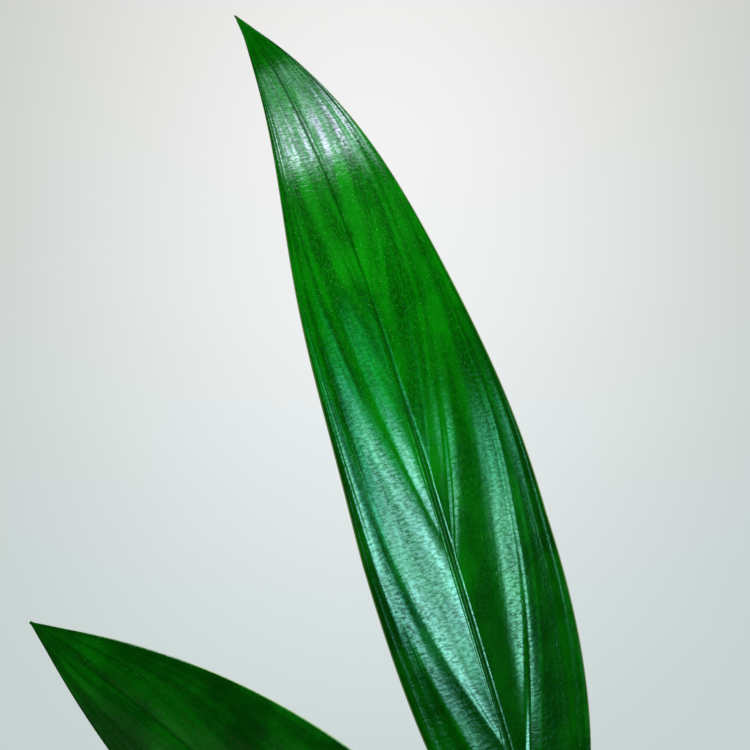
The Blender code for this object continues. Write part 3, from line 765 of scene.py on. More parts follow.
def stalk_line(leaf):
    """The stalk's line: a bend of the third degree from beside its vine to the blade's foot, whose first
    part is drawn in by the seating until the clasp touches the vine. Also gives the level direction in
    which it leaves the vine, and the share of its length at each point."""
    towards = leaf_axes(leaf)[0]
    vine, foot = VINES[leaf["vine"]], np.array(leaf["foot"]) * MM
    rise = math.radians(leaf["stalk_rise"])
    knot = leaf["knot"] * MM
    heights = np.array([knot, knot + STALK_FOOT_RADIUS * math.cos(rise)])
    (middle, above), (stem, _) = vine_middle(vine, heights)
    flat = (foot - middle) * np.array([1, 1, 0])
    flat /= np.linalg.norm(flat)
    setting_out = flat * math.cos(rise) + np.array([0.0, 0.0, math.sin(rise)])
    lean = np.dot(above - middle, flat)
    start = middle + flat * (stem + CLASP_CLEARANCE + lean + STALK_FOOT_RADIUS * math.sin(rise))
    arrival = towards + np.array([0.0, 0.0, 0.35])
    arrival /= np.linalg.norm(arrival)
    reach = np.linalg.norm(foot - start)
    second, third = start + setting_out * reach * 0.45, foot - arrival * reach * 0.28
    share = np.linspace(0, 1, STALK_ROWS)
    t = share[:, None]
    line = start * (1 - t) ** 3 + 3 * second * t * (1 - t) ** 2 + 3 * third * t**2 * (1 - t) + foot * t**3
    seat = SEATING * (1 - smooth_step(share, 0.0, 0.16))[:, None]
    return line - flat * seat, flat, share


def stalk_material():
    """Smooth living skin: light green with fine pale streaks, pale along the sheath's wings, and brown and
    dry where the sheath clasps the vine."""
    material, tree, shader = new_material("leaf_stalk_green")
    drawn = node(tree, "Attribute", attribute_name="drawn").outputs["Vector"]
    streaks = window(tree, noise(tree, drawn, 0.7 * MM, 3.0), 0.38, 0.66)
    colour = blend_colour(tree, streaks, STALK_GREEN, STALK_PALE)
    place = node(tree, "TexCoord").outputs["Object"]
    earthy = add_group(tree, EARTHY, {"Place": place, "Blotch Scale": 120.0, "Grain Scale": 1900.0})
    colour = blend_colour(tree, times(tree, earthy["Mottle"], 0.35), colour, STALK_GREEN)
    wing = times(tree, stored(tree, "wing"), 0.75)
    colour = blend_colour(tree, wing, colour, WING_PALE)
    dry = times(tree, stored(tree, "clasp"), between(tree, earthy["Mottle"], 0.25, 0.8))
    colour = blend_colour(tree, dry, colour, SCAR_BROWN)
    roughness = between(tree, streaks, 0.3, 0.42)
    height = sums(tree, "ADD", streaks, earthy["Grain"])
    set_surface(tree, shader, colour, roughness, height, 0.05 * MM)
    return material


def make_stalk(name, leaf, material):
    """A round profile carried along the stalk's line: thick at the clasp, with a channel on its upper side
    and a thin wing on each edge of it that both end below the round joint."""
    line, flat, share = stalk_line(leaf)
    t = share[:, None]
    turn = np.linspace(0, math.tau, STALK_COLUMNS, endpoint=False)[None, :]
    off_top = np.minimum(turn, math.tau - turn)
    clasp = np.clip(1 - t / STALK_CLASP_END, 0, 1) ** 2
    joint = smooth_step(t, 0.84, 0.93)
    radius = STALK_RADIUS + (STALK_FOOT_RADIUS - STALK_RADIUS) * clasp
    radius = radius + (STALK_JOINT_RADIUS - STALK_RADIUS) * joint
    open_channel = 1 - smooth_step(t, 0.70, 0.84)
    wing = np.exp(-(((off_top - 0.62) / 0.17) ** 2)) * open_channel
    channel = np.exp(-((off_top / 0.42) ** 2)) * (0.10 + 0.36 * open_channel) * (1 - joint)
    wrinkles = 0.010 * joint * np.sin(30 * math.tau * t)
    radii = radius * (1 + 0.30 * wing - channel + wrinkles) * rounded_ends(t, 0.018, 0.008)
    upper = -flat * 0.85 + np.array([0.0, 0.0, 0.5])
    points, faces = closed_skin(carried_round(line, radii, upper))
    gone = t * np.linalg.norm(np.diff(line, axis=0), axis=1).sum()
    across = 2 * STALK_RADIUS * np.sin(turn / 2) + 0 * t
    upwards = 2 * STALK_RADIUS * np.cos(turn) + 0 * t
    drawn = np.stack([across, upwards, 0.06 * gone + 0 * turn], axis=-1)
    dry = np.clip(1 - t / 0.05, 0, 1) + 0 * turn
    add_piece(
        "stalk_" + name, points, faces, material, "leaf_stalk_green", ["leaf_stalk_" + name],
        drawn=with_middles(drawn), wing=with_middles(wing), clasp=with_middles(dry),
    )


STALK_SKIN = stalk_material()
for leaf_name, leaf in LEAVES.items():
    make_stalk(leaf_name, leaf, STALK_SKIN)

# The blades
# Thick, waxy leaf blades, narrow and drawn out to a needle tip. Each side vein leaves the sunken midrib at
# a slant, bends towards the tip and lies in a crease, and the tissue bulges between the creases. The
# upper side is deep green and glossy, the underside is paler and matt, with the midrib as a raised keel.
WIDEST = 0.374
FOOT_POWER = 2.4
FOOT_ROUND = 0.62
FOOT_HALF_WIDTH = 1.7 * MM
TIP_HALF_WIDTH = 0.27 * MM
NEEDLE_LENGTH = 2.3 * MM
NEEDLE_START = 0.965
RIPPLE_SHIFT = 1.5
FINE_STEPS = 600
PLATE_THICKNESS = 0.55 * MM
NECK_THICKNESS = 2.3 * MM
NECK_END = 0.03
KEEL_HEIGHT = 1.3 * MM
KEEL_HALF_WIDTH = 1.1 * MM
GROOVE_DEPTH = 0.30 * MM
GROOVE_HALF_WIDTH = 1.1 * MM
GROOVE_POWER = 1.7
VEIN_HALF_WIDTH = 0.22 * MM
CREASE_HALF_WIDTH = 0.38 * MM
HILL_HEIGHT = 0.035 * MM
MIDRIB = 9.0
USUAL_SHAPE = {"waist": 0, "waves": 0, "low": 0, "widening": 1, "fold_change": 0, "curl_change": 0}
LEAF_GREEN = (0.0008, 0.150, 0.0010)
LEAF_BRIGHT = (0.0014, 0.235, 0.0011)
# LEAF_SHADE is a darker green: the random bands use it as the leaf's own darker tone, and the painted shade
# of the blades' foot, tip, edges and midrib crease blends towards it. YOUNG_SHADE does the same on the young
# leaf.
LEAF_SHADE = (0.0003, 0.031, 0.0004)
UNDERSIDE = (0.050, 0.200, 0.026)
# The pale green of the painted glints, tiny spots of painted highlight.
GLINT_PALE = (0.09, 0.46, 0.10)
MARGIN_PALE = (0.30, 0.44, 0.16)
NEEDLE_BROWN = (0.06, 0.038, 0.016)
YOUNG_GREEN = (0.030, 0.230, 0.010)
YOUNG_BRIGHT = (0.080, 0.340, 0.020)
YOUNG_SHADE = (0.018, 0.160, 0.008)
YOUNG_UNDERSIDE = (0.110, 0.300, 0.045)

# Each side vein, from the foot up: which half, where it leaves the midrib and how soon it bends along the
# edge, as shares of the length, and the slopes of the leaf outside it, near this vein, in the middle and
# near the next vein out, each as a value at 0.4 of the length and its growth. The midrib comes last, as a
# vein that never leaves it. These numbers weren't chosen by hand: a least-squares program fitted them to
# the photo's highlights, all but the slopes of the right half's second vein.
TALL_VEINS = [
    (-1, -0.102, 0.118, (-0.005, 0.019), (-0.006, 0.02), (0.033, -0.001)),
    (-1, 0.042, 0.192, (0.047, 0.456), (0.085, 0.742), (0.002, -0.018)),
    (-1, 0.158, 0.202, (0.065, 0.053), (-0.066, 0.128), (-0.006, -0.418)),
    (-1, 0.361, 0.32, (0.02, -0.754), (0.02, 0.827), (-0.042, -0.371)),
    (-1, MIDRIB, 1, (-0.097, -0.728), (0.134, -0.17), (-0.282, 0.128)),
    (1, 0.058, 0.224, (-0.031, 0.117), (-0.013, 0.154), (-0.117, -0.045)),
    (1, 0.097, 0.28, (0.22, 0.0), (0.05, 0.0), (0.0, 0.0)),
    (1, 0.35, 0.373, (-0.152, -0.372), (0.03, 0.044), (0.023, 0.329)),
    (1, 0.422, 0.421, (-0.169, 0.23), (0.032, 0.25), (-0.327, -0.163)),
    (1, MIDRIB, 1, (-0.304, 0.044), (0.007, 0.088), (-0.164, 0.167)),
]


def usual_veins(seed, fullness=1.0):
    """Side veins of a leaf without a vein pattern of its own: eight to a half, evenly spaced with a random
    shift, the lower ones bending sooner, with the leaf bulging between them at random by the fullness."""
    rng = np.random.default_rng(seed)
    veins = []
    for half in (-1, 1):
        for start in [*(np.linspace(-0.10, 0.68, 8) + rng.uniform(-0.03, 0.03, 8)), MIDRIB]:
            bend = 0.17 + 0.42 * min(max(start, 0), 1) * rng.uniform(0.8, 1.2)
            slopes = fullness * rng.uniform((0.05, 0.05, 0.00), (0.16, 0.13, 0.07))
            veins.append((half, start, bend, *((slope, 0) for slope in slopes)))
    return veins


def drawn_close(start, count, pull):
    """Steps from the start, -1 or 0, to 1, drawn close together at both ends and at 0."""
    even = np.linspace(start, 1, count)
    return even - pull * np.sin(math.tau * even) / math.tau


def blade_midrib(leaf, s):
    """The midrib's points at the shares s of its length, and the directions out of the face and across it
    there. It turns back from the face by arch and sideways by sweep, as powers of the share, and its last
    end is drawn out into the needle."""
    towards, face, side = leaf_axes(leaf)
    length = leaf["length"] * MM

    def turned_axes(at):
        sweep = math.radians(leaf["sweep"][0]) * at ** leaf["sweep"][1]
        arch = math.radians(leaf["arch"][0]) * at ** leaf["arch"][1]
        level = np.cos(sweep)[:, None] * towards + np.sin(sweep)[:, None] * side
        along = np.cos(arch)[:, None] * level - np.sin(arch)[:, None] * face
        up = np.cos(arch)[:, None] * face + np.sin(arch)[:, None] * level
        across = np.cos(sweep)[:, None] * side - np.sin(sweep)[:, None] * towards
        return along, up, across

    fine = np.linspace(0, 1, FINE_STEPS)
    along = turned_axes(fine)[0]
    steps = (along[1:] + along[:-1]) / 2 * length / (FINE_STEPS - 1)
    line = np.vstack([np.zeros(3), np.cumsum(steps, axis=0)]) + np.array(leaf["foot"]) * MM
    midrib = np.stack([np.interp(s, fine, line[:, k]) for k in range(3)], axis=-1)
    drawn_out = leaf.get("needle", 1.0) * NEEDLE_LENGTH * smooth_step(s, NEEDLE_START, 1)
    up, across = turned_axes(s)[1:]
    return midrib + drawn_out[:, None] * along[-1], up, across


def by_half(leaf, key, u):
    """A value of the leaf's two halves at each u, which is below 0 on the left half."""
    left, right = np.broadcast_to(leaf.get(key, USUAL_SHAPE.get(key)), 2)
    return np.where(u < 0, left, right)


def blade_width(leaf, s, u):
    """The outline's fullness, from 0 at the ends to 1 at the widest place, and the width of each half. A
    power of the distance from the widest place rounds the foot, and another one points the tip. Sines of
    one, one and a half and half a turn draw the outline in or out. No half is narrower than the neck at
    the foot and the needle at the tip."""
    point, waist, waves, low = (by_half(leaf, key, u) for key in ("point", "waist", "waves", "low"))
    below = np.clip((WIDEST - s) / WIDEST, 0, 1)
    above = np.clip((s - WIDEST) / (1 - WIDEST), 0, 1)
    outline = np.where(s < WIDEST, (1 - below**FOOT_POWER) ** FOOT_ROUND, 1 - above**point)
    least = FOOT_HALF_WIDTH + (TIP_HALF_WIDTH - FOOT_HALF_WIDTH) * smooth_step(s, 0, 0.9)
    drawn = 1 + waist * np.sin(math.tau * above) + waves * np.sin(3 * math.pi * above)
    drawn = drawn + low * np.sin(math.pi * below)
    half = ((leaf["width"] * MM / 2 * outline * drawn) ** 4 + least**4) ** 0.25
    half = half * (1 + leaf["wide"] * np.sign(u) * outline) * by_half(leaf, "widening", u)
    return outline, half


def quilting(veins, s, u, half):
    """How high the leaf bulges between its veins, and a mark along each vein. A vein lies where u is 1 less
    a falling exponential of s. From it to the next vein out, or to the edge, q runs from 0 to 1, and the
    bulge is the distance times q(1 - q) and times a slope: the near slope times (1 - q) squared, plus the
    middle one, plus the far slope times q squared."""
    reach = np.abs(u)
    bulge, vein_mark = np.zeros_like(half), np.zeros_like(half)
    outer = {-1: np.ones_like(s), 1: np.ones_like(s)}
    for which, start, bend, *slopes in veins:
        place = 1 - np.exp(-np.clip(s - start, 0, None) / bend)
        width = np.maximum(outer[which] - place, 0.0001)
        q = np.clip((reach - place) / width, 0, 1)
        on_half = np.sign(u) == which
        near, middle, far = (value + growth * (s - 0.4) for value, growth in slopes)
        slope = near * (1 - q) ** 2 + middle + far * q**2
        bulge = bulge + on_half * width * half * q * (1 - q) * slope
        shown = on_half * smooth_step(place, 0.02, 0.12) * (1 - smooth_step(place, 0.86, 0.99))
        vein_mark = np.maximum(vein_mark, shown * np.exp(-(((reach - place) * half / VEIN_HALF_WIDTH) ** 2)))
        outer[which] = place
    return bulge, vein_mark


def blade_rings(leaf, veins, rows, columns, seed):
    """The blade's skin, as rings that go over the upper side from one edge to the other and back under.
    Rows are the shares s of the length, closer at both ends. Columns are u, from -1 to 1 across, closer at
    the midrib and at the edges. Each half leaves the midrib at the fold angle and rolls back evenly by the
    curl angle. The ripple lifts the edges, the groove sinks the midrib, the quilting and low hills stand
    between the veins, and the keel hangs under the midrib. Also gives what the skin's material reads: the
    place on the leaf along and across, and along the slanting veins, the side, the margin, the way to the
    tip, the veins, the painted shade along the midrib's crease, and the painted shade that darkens the green
    towards the foot, the tip and the edges."""
    rows_at = drawn_close(0, rows, 0.4)
    midrib, up, across = blade_midrib(leaf, rows_at)
    s, u = rows_at[:, None], drawn_close(-1, columns, 0.5)[None, :]
    reach = np.abs(u)
    length = leaf["length"] * MM

    outline, half = blade_width(leaf, s, u)
    fold = np.radians(by_half(leaf, "fold", u) + by_half(leaf, "fold_change", u) * (s - 0.4))
    curl = np.radians(by_half(leaf, "curl", u) + by_half(leaf, "curl_change", u) * (s - 0.4))
    flat = (np.sin(fold) - np.sin(fold - curl * reach)) / curl
    lift = (np.cos(fold - curl * reach) - np.cos(fold)) / curl
    height, waves, phase = leaf["ripple"]
    wave = height * MM * u**2 * outline * np.sin(math.tau * waves * s + phase + RIPPLE_SHIFT * np.sign(u))

    off_midrib = reach * half
    body = smooth_step(outline, 0.05, 0.35)
    fullness = 0.3 + 0.7 * outline
    groove = np.clip(1 - off_midrib / (GROOVE_HALF_WIDTH * fullness), 0, 1) ** GROOVE_POWER
    groove = GROOVE_DEPTH * leaf.get("groove", 1.0) * fullness * groove
    bulge, vein_mark = quilting(veins, s, u, half)
    vein_line = s + 0.3 * np.log(1 - 0.97 * reach)
    broad = hills(vein_line * length, s * length * 0.2, 24 * MM, seed)
    narrow = hills(vein_line * length, s * length * 0.08, 8 * MM, seed + 50)
    low_hills = HILL_HEIGHT * broad + 0.3 * HILL_HEIGHT * narrow
    relief = body * (bulge - groove + low_hills * smooth_step(reach, 0.03, 0.2))

    neck = 1 - smooth_step(s, 0, NECK_END)
    thick = PLATE_THICKNESS * (1 - 0.5 * smooth_step(s, 0.9, 1)) + (NECK_THICKNESS - PLATE_THICKNESS) * neck
    rim = thick / 2 * np.sqrt(np.clip(1 - reach ** (2 + 22 * (1 - neck)), 0, 1))
    keel = KEEL_HEIGHT * (1 - 0.8 * s) * (1 - neck) * body * np.exp(-((off_midrib / KEEL_HALF_WIDTH) ** 2))
    level = half * lift + wave + relief
    middle = midrib[:, None, :] + (half * flat * np.sign(u))[..., None] * across[:, None, :]
    over = middle + (level + rim)[..., None] * up[:, None, :]
    under = middle + (level - rim - keel)[..., None] * up[:, None, :]
    rings = np.concatenate([over, under[:, -2:0:-1]], axis=1)

    def both_sides(value):
        value = value + 0 * relief
        return np.concatenate([value, value[:, -2:0:-1]], axis=1)

    leaf_place = [both_sides(value) for value in (u * half, s * length, vein_line * length)]
    # Painted shade along the midrib's crease; the wax coat is kept off it too.
    crease = body * np.exp(-((off_midrib / CREASE_HALF_WIDTH) ** 2))
    # Painted shade: the green darkens towards the foot, the tip and the edges, and by each leaf's own share.
    painted_end_shade = np.maximum(1.45 * (1 - s / 0.68), leaf.get("tip_shade", 0.75) * smooth_step(s, 0.78, 0.92))
    painted_shade = leaf.get("painted_shade", 0.2) + painted_end_shade + 0.5 * reach**3
    values = {
        "leaf_place": np.stack(leaf_place, axis=-1),
        "upper": np.concatenate([np.ones_like(relief), np.zeros_like(relief[:, 1:-1])], axis=1),
        "margin": both_sides(reach),
        "tipwards": both_sides(s * (0.992 + 0.008 * leaf.get("needle", 1.0))),
        "vein": both_sides(vein_mark * leaf.get("veined", 0.6)),
        "crease": both_sides(crease),
        "painted_shade": both_sides(np.clip(painted_shade, 0, 1)),
    }
    return rings, values


def leaf_skin_group():
    """The skin of a leaf, from the values stored on a blade. Colour is banded along the side veins and
    clouded green above, with flecks and painted pale glints, painted shade where the blade stores it,
    painted shade in the crease along the midrib, faint pale veins that are partly the veins' own paler
    green and partly a painted glint, a thin pale margin and a brown needle tip, and paler below. Roughness
    is glossy above and matt below. Wax is how much of the mottled wax coat lies where: patches, specks and
    streaks on the upper side, but none in the crease. Height holds fine cross wrinkles and faint ribs that
    run with the side veins."""
    inputs = {"Green": "Color", "Bright": "Color", "Shade": "Color", "Underside": "Color", "Gloss": "Float"}
    outputs = {"Color": "Color", "Roughness": "Float", "Height": "Float", "Wax": "Float"}
    tree, given, out = new_group("leaf_skin", inputs, outputs)
    place = node(tree, "Attribute", attribute_name="leaf_place").outputs["Vector"]
    upper, along = stored(tree, "upper"), stored(tree, "tipwards")
    flat = node(tree, "Mapping", {"Vector": place, "Scale": (1.0, 1.0, 0.0)}).outputs[0]
    wrinkled = node(tree, "Mapping", {"Vector": place, "Scale": (0.45, 1.0, 0.0)}).outputs[0]
    swept = node(tree, "Mapping", {"Vector": place, "Scale": (0.3, 0.06, 0.16)}).outputs[0]
    bands = window(tree, noise(tree, swept, 3.5 * MM, 3.0), 0.38, 0.62)
    clouds = window(tree, noise(tree, flat, 16 * MM, 3.0), 0.38, 0.62)
    colour = blend_colour(tree, between(tree, bands, 0.25, 0.95), given["Shade"], given["Green"])
    light = times(tree, clouds, between(tree, bands, 0.15, 0.8))
    colour = blend_colour(tree, light, colour, given["Bright"])
    drawn = node(tree, "Mapping", {"Vector": place, "Scale": (1.0, 0.35, 0.0)}).outputs[0]
    flecks = window(tree, noise(tree, drawn, 0.5 * MM, 2.0), 0.42, 0.60)
    colour = blend_colour(tree, times(tree, flecks, 0.3), colour, given["Bright"])
    # Painted glints: tiny pale dots of painted highlight on the green.
    glints = window(tree, noise(tree, flat, 0.42 * MM, 1.0), 0.66, 0.73)
    colour = blend_colour(tree, times(tree, glints, 0.5), colour, GLINT_PALE)
    # The painted shade stored on the blade, a little lighter where the clouds are light.
    painted_shade = times(tree, stored(tree, "painted_shade"), between(tree, clouds, 1.0, 0.72))
    colour = blend_colour(tree, painted_shade, colour, given["Shade"])
    lower = blend_colour(tree, times(tree, bands, 0.5), given["Underside"], given["Green"])
    lower = blend_colour(tree, between(tree, clouds, 0.55, 1.0), lower, given["Underside"])
    # Painted shade in the midrib's crease.
    painted_crease_shade = times(tree, stored(tree, "crease"), 0.7)
    colour = blend_colour(tree, painted_crease_shade, colour, given["Shade"])
    colour = blend_colour(tree, upper, lower, colour)
    # Pale lines along the veins: partly the veins' own paler green, partly a painted glint.
    vein = times(tree, stored(tree, "vein"), 0.35)
    colour = blend_colour(tree, vein, colour, given["Bright"])
    edge = window(tree, stored(tree, "margin"), 0.982, 0.998)
    colour = blend_colour(tree, times(tree, edge, 0.7), colour, MARGIN_PALE)
    needle = window(tree, along, 0.991, 0.999)
    colour = blend_colour(tree, needle, colour, NEEDLE_BROWN)
    tree.links.new(colour, out["Color"])
    pores = window(tree, noise(tree, flat, 1.5 * MM, 4.0), 0.3, 0.7)
    smooth = sums(tree, "ADD", given["Gloss"], times(tree, pores, 0.04))
    tree.links.new(sums(tree, "MAXIMUM", smooth, between(tree, upper, 0.55, 0.0)), out["Roughness"])
    patches = window(tree, noise(tree, flat, 1.3 * MM, 2.0), 0.38, 0.62)
    specks = window(tree, noise(tree, wrinkled, 0.55 * MM, 2.0), 0.42, 0.58)
    streaks = window(tree, noise(tree, swept, 2.4 * MM, 4.0), 0.40, 0.60)
    wax = sums(tree, "ADD", times(tree, patches, 0.2), times(tree, specks, 0.55))
    wax = sums(tree, "ADD", wax, times(tree, streaks, 0.35))
    shining = sums(tree, "SUBTRACT", upper, times(tree, stored(tree, "crease"), upper))
    tree.links.new(times(tree, wax, shining), out["Wax"])
    crinkle = noise(tree, wrinkled, 0.9 * MM, 2.0)
    ribs = noise(tree, swept, 0.9 * MM, 1.0)
    height = sums(tree, "ADD", crinkle, times(tree, ribs, 0.45))
    tree.links.new(height, out["Height"])
    return tree


LEAF_SKIN = leaf_skin_group()


def leaf_material(name, green, bright, shade, underside, gloss, crinkle_depth):
    """A waxy leaf: the leaf skin on a shader whose coat is the wax, as glossy as the skin. The skin itself
    reflects little."""
    material, tree, shader = new_material(name)
    colours = {"Green": green, "Bright": bright, "Shade": shade, "Underside": underside}
    inputs = {key: (*colour, 1.0) for key, colour in colours.items()}
    skin = add_group(tree, LEAF_SKIN, {**inputs, "Gloss": gloss})
    set_surface(tree, shader, skin["Color"], skin["Roughness"], skin["Height"], crinkle_depth)
    tree.links.new(skin["Wax"], shader.inputs["Coat Weight"])
    shader.inputs["Coat Roughness"].default_value = gloss
    shader.inputs["Specular IOR Level"].default_value = 0.15
    return material


def make_blade(name, leaf, veins, grid, seed, material, slot):
    """A blade in place of its node, on a grid of so many rows and columns."""
    rings, values = blade_rings(leaf, veins, *grid, seed)
    points, faces = closed_skin(rings)
    values = {key: with_middles(value) for key, value in values.items()}
    add_piece("blade_" + name, points, faces, material, slot, ["leaf_blade_" + name], **values)


GLOSSY_LEAF = leaf_material(
    "glossy_leaf_green", LEAF_GREEN, LEAF_BRIGHT, LEAF_SHADE, UNDERSIDE, gloss=0.095, crinkle_depth=0.05 * MM
)
YOUNG_LEAF = leaf_material(
    "young_leaf_green", YOUNG_GREEN, YOUNG_BRIGHT, YOUNG_SHADE, YOUNG_UNDERSIDE,
    gloss=0.30, crinkle_depth=0.03 * MM,
)
BLADE_GRIDS = {"tall": (270, 121), "left": (200, 91), "young": (150, 61)}
USUAL_GRID = (170, 71)
for number, (leaf_name, leaf) in enumerate(LEAVES.items()):
    leaf_veins = TALL_VEINS if leaf_name == "tall" else usual_veins(70 + number, leaf.get("quilted", 1.0))
    grid = BLADE_GRIDS.get(leaf_name, USUAL_GRID)
    hill_seed = {"tall": 61, "young": 60}.get(leaf_name, 62 + number)
    if leaf_name == "young":
        make_blade(leaf_name, leaf, leaf_veins, grid, hill_seed, YOUNG_LEAF, "young_leaf_green")
    else:
        make_blade(leaf_name, leaf, leaf_veins, grid, hill_seed, GLOSSY_LEAF, "glossy_leaf_green")

# The next leaf
# At the tip of the rear vine the youngest leaf still stands rolled up like a scroll: one edge wraps once
# round it and shows as a fine seam that winds slowly up to the point.
ROLL_TOP = (21, 17, 243)
ROLL_BULGE = (-4, -2, 6)
ROLL_SUNK = 0.4 * MM
ROLL_RADIUS = 3.1 * MM
ROLL_TIP_RADIUS = 0.55 * MM
ROLL_FOOT_CUT = 0.22
ROLL_SEAM = 0.16
ROLL_TWIST = 1.3
ROLL_ROWS = 200
ROLL_COLUMNS = 60


def make_roll():
    """A spindle on a bend of the second degree, fattest below its middle. Its profile is a spiral: the
    radius grows by the seam's height over one turn and steps back at the seam, which twists upwards. Its
    place on the leaf runs round the roll and up it, so that the young leaf's pattern winds with it."""
    start = np.array(VINES["rear"]["tip"]) * MM - np.array([0.0, 0.0, ROLL_SUNK])
    end = np.array(ROLL_TOP) * MM
    t = np.linspace(0, 1, ROLL_ROWS)[:, None]
    bend = (start + end) / 2 + np.array(ROLL_BULGE) * MM
    line = start * (1 - t) ** 2 + 2 * bend * t * (1 - t) + end * t**2
    turn = np.linspace(0, math.tau, ROLL_COLUMNS, endpoint=False)[None, :]
    swell = np.sin(math.pi * (ROLL_FOOT_CUT + (1 - ROLL_FOOT_CUT) * t))
    radius = ROLL_TIP_RADIUS + (ROLL_RADIUS - ROLL_TIP_RADIUS) * np.maximum(swell, 0)
    round_the_seam = np.mod(turn - ROLL_TWIST * t, math.tau) / math.tau
    step = round_the_seam - smooth_step(round_the_seam, 0.955, 1.0)
    radii = radius * (1 - ROLL_SEAM / 2 + ROLL_SEAM * step) * rounded_ends(t, 0.006, 0.02)
    points, faces = closed_skin(carried_round(line, radii, np.array([1.0, 0.2, 0.0])))
    around = (np.abs(round_the_seam - 0.5) - 0.5) * radius
    length = np.linalg.norm(end - start)
    place = np.stack([2.2 * around, 0.5 * t * length + 0 * turn, 3 * around + 0.3 * t * length], axis=-1)
    seam = np.exp(-(((round_the_seam - 0.985) / 0.012) ** 2))
    values = {"upper": 1 + 0 * around, "vein": 0 * around, "painted_shade": 0 * around, "crease": 0 * around}
    values |= {"leaf_place": place, "tipwards": 0.99 * t**2 + 0 * turn, "margin": 0.99 * seam}
    values = {key: with_middles(value) for key, value in values.items()}
    add_piece("rolled_leaf", points, faces, YOUNG_LEAF, "young_leaf_green", ["new_leaf_roll"], **values)


make_roll()

# The studio
# A pale floor that fades into a pale wall, one broad lamp above the front and one behind. What shines in
# the leaves is a dim room with soft windows, which only reflections see. The wall's colours and glow were
# fitted to the photo's wall by a least-squares program.
LOOKED_AT = (-0.03, 0.0, 0.33)
CAMERA_PLACE = (-0.040, -0.420, 0.350)
CAMERA_ANGLE = 22.2
SENSOR = 36.0
FLOOR_RADIUS = 1.2
WALL_LOW = (0.559, 0.642, 0.633)
WALL_HIGH = (0.491, 0.514, 0.475)
WALL_TURNING = 0.196
WALL_GLOW = (0.388, 0.366, 0.396)
GLOW_SHIFT = (0.0, 0.0, -0.31)
GLOW_SQUEEZE = (3.08, 0.0, 2.44)
FLOOR_COLOUR = (0.70, 0.71, 0.70)
SHADE_IN_GLOSS = 0.008
FILL = 0.32
FILL_COLOUR = (0.94, 0.98, 1.0, 1.0)

# The windows of the dim room. For each: the turns to the right of the camera's side and the rises between
# which it lies as seen from the plant, how soft its edges are, all in degrees, and its light. They were
# set so that the highlights fall as in the photo.
WINDOWS = [
    ((0, 54), (51, 77), 5, (2.0, 3.6, 3.2)),
    ((3, 45), (52, 65), 4, (5.0, 8.2, 7.6)),
    ((12, 31), (53, 61.5), 4, (18.0, 17.5, 25.0)),
    ((17, 31), (17, 29), 4, (0.1, 3.0, 0.7)),
    ((15.5, 30.5), (4.5, 20.5), 3, (0.8, 6.8, 4.6)),
    ((18.5, 29.5), (5.5, 17.5), 3, (5.4, 14.2, 13.0)),
    ((44, 56), (8.5, 22), 3, (1.0, 6.5, 3.8)),
    ((45, 54), (9, 17.5), 2, (4.0, 13.0, 9.5)),
    ((95, 200), (38, 62), 12, (2.6, 3.0, 2.8)),
    ((-200, -95), (38, 62), 12, (2.6, 3.0, 2.8)),
]


def make_floor():
    """A disc on a polar grid, whose edge fades into the wall. Reflections see little of it, because they
    see the dim room."""
    turn = np.linspace(0, math.tau, 96, endpoint=False)[None, :]
    radius = FLOOR_RADIUS * np.linspace(0.02, 1, 24)[:, None]
    rings = np.stack([radius * np.cos(turn), radius * np.sin(turn), 0 * radius * turn], axis=-1)
    points, (quads, middle, _) = closed_skin(rings)
    mesh = bpy.data.meshes.new("floor")
    mesh.from_pydata(points.tolist(), [], quads[:, ::-1].tolist() + middle[:, ::-1].tolist())
    material, tree, shader = new_material("pale_floor")
    place = node(tree, "TexCoord").outputs["Object"]
    grain = noise(tree, place, 0.4, 2.0)
    colour = blend_colour(tree, grain, tuple(0.97 * channel for channel in FLOOR_COLOUR), FLOOR_COLOUR)
    tree.links.new(colour, shader.inputs["Base Color"])
    shader.inputs["Roughness"].default_value = 0.9
    shader.inputs["Specular IOR Level"].default_value = 0.1
    away = node(tree, "VectorMath", {0: place}, operation="LENGTH").outputs["Value"]
    clear = node(tree, "BsdfTransparent")
    fade = window(tree, away, 0.35, FLOOR_RADIUS * 0.97)
    mirrored = node(tree, "LightPath").outputs["Is Glossy Ray"]
    fade = sums(tree, "MAXIMUM", fade, times(tree, mirrored, 0.85))
    mixed = node(tree, "MixShader", {0: fade, 1: shader.outputs[0], 2: clear.outputs[0]})
    tree.links.new(mixed.outputs[0], tree.nodes["Material Output"].inputs["Surface"])
    mesh.materials.append(material)
    floor = bpy.data.objects.new("floor", mesh)
    bpy.context.scene.collection.objects.link(floor)


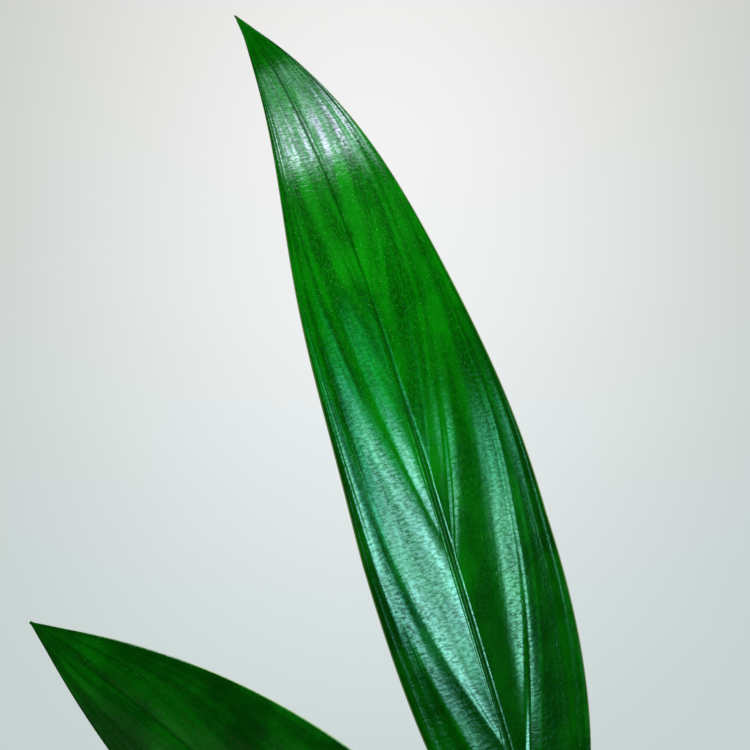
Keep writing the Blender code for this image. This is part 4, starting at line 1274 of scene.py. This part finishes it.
def make_wall():
    """The world. To the eye it is a pale wall that changes a little with the height and glows behind the
    plant. In reflections it is the dim room with its windows, dappled as by leaves outside. Everything
    else gets an even fill from it."""
    world = bpy.data.worlds.new("wall")
    bpy.context.scene.world = world
    world.cycles.sampling_method = "NONE"
    world.use_nodes = True
    tree = world.node_tree
    tree.nodes.clear()
    direction = node(tree, "TexCoord").outputs["Generated"]
    parts = node(tree, "SeparateXYZ", {0: direction}).outputs
    colour = blend_colour(tree, window(tree, parts[2], -WALL_TURNING, WALL_TURNING), WALL_LOW, WALL_HIGH)
    squeezed = {"Vector": direction, "Location": GLOW_SHIFT, "Scale": GLOW_SQUEEZE}
    centred = node(tree, "Mapping", squeezed).outputs[0]
    away = node(tree, "VectorMath", {0: centred}, operation="LENGTH").outputs["Value"]
    glow = blend_colour(tree, window(tree, away, 1.0, 0.0), (0, 0, 0), WALL_GLOW)
    colour = node(tree, "VectorMath", {0: colour, 1: glow}, operation="ADD").outputs[0]
    seen = node(tree, "Background", {"Color": colour, "Strength": 1.0})
    mirrored = (SHADE_IN_GLOSS, SHADE_IN_GLOSS, SHADE_IN_GLOSS)
    turn = sums(tree, "ARCTAN2", parts[0], times(tree, parts[1], -1.0))
    rise = sums(tree, "ARCSINE", parts[2], 0.0)
    dapple = between(tree, window(tree, noise(tree, direction, 0.07, 3.0), 0.40, 0.60), 0.5, 1.4)
    for turn_range, rise_range, soft, light in WINDOWS:
        shape = 1.0
        for value, (low, high) in ((turn, turn_range), (rise, rise_range)):
            edge = math.radians(soft) / 2
            low, high = math.radians(low), math.radians(high)
            shape = times(tree, shape, window(tree, value, low - edge, low + edge))
            shape = times(tree, shape, window(tree, value, high + edge, high - edge))
        mirrored = blend_colour(tree, shape, mirrored, light)
    glossy = node(tree, "Background", {"Color": mirrored, "Strength": dapple})
    fill = node(tree, "Background", {"Color": FILL_COLOUR, "Strength": FILL})
    rays = node(tree, "LightPath").outputs
    unseen = node(tree, "MixShader", {0: rays["Is Glossy Ray"], 1: fill.outputs[0], 2: glossy.outputs[0]})
    both = node(tree, "MixShader", {0: rays["Is Camera Ray"], 1: unseen.outputs[0], 2: seen.outputs[0]})
    tree.links.new(both.outputs[0], node(tree, "OutputWorld").inputs["Surface"])


def aim(item, place, target):
    """Puts a camera or a light at the place and turns it to the target."""
    away = np.array(target, float) - np.array(place, float)
    item.location = place
    item.rotation_euler = (
        math.atan2(math.hypot(away[0], away[1]), -away[2]), 0.0, math.atan2(-away[0], away[1])
    )


def add_panel(name, azimuth, elevation, distance, width, height, colour, power):
    """A soft panel lamp that lights the plant from an azimuth, turned from the camera's side to the right,
    and an elevation. Neither the eye nor a reflection sees it."""
    lamp = bpy.data.lights.new(name, "AREA")
    lamp.shape = "RECTANGLE"
    lamp.size, lamp.size_y = width, height
    lamp.color = colour
    lamp.energy = power
    panel = bpy.data.objects.new(name, lamp)
    bpy.context.scene.collection.objects.link(panel)
    a, e = math.radians(azimuth), math.radians(elevation)
    way = np.array([math.sin(a) * math.cos(e), -math.cos(a) * math.cos(e), math.sin(e)])
    aim(panel, np.array(LOOKED_AT) + way * distance, LOOKED_AT)
    panel.visible_camera = False
    panel.visible_glossy = False


make_floor()
make_wall()
add_panel(
    "top_light", azimuth=25, elevation=55, distance=1.6, width=1.2, height=1.0,
    colour=(1.0, 1.0, 0.98), power=34,
)
add_panel(
    "back_light", azimuth=200, elevation=35, distance=1.8, width=1.4, height=1.0,
    colour=(1.0, 1.0, 1.0), power=16,
)

camera_data = bpy.data.cameras.new("camera")
camera_data.sensor_width = SENSOR
camera_data.lens = SENSOR / 2 / math.tan(math.radians(CAMERA_ANGLE) / 2)
camera_data.clip_start = 0.01
camera = bpy.data.objects.new("camera", camera_data)
bpy.context.scene.collection.objects.link(camera)
aim(camera, CAMERA_PLACE, (CAMERA_PLACE[0], 0.0, CAMERA_PLACE[2]))
bpy.context.scene.camera = camera
bpy.context.scene.view_settings.view_transform = "Standard"
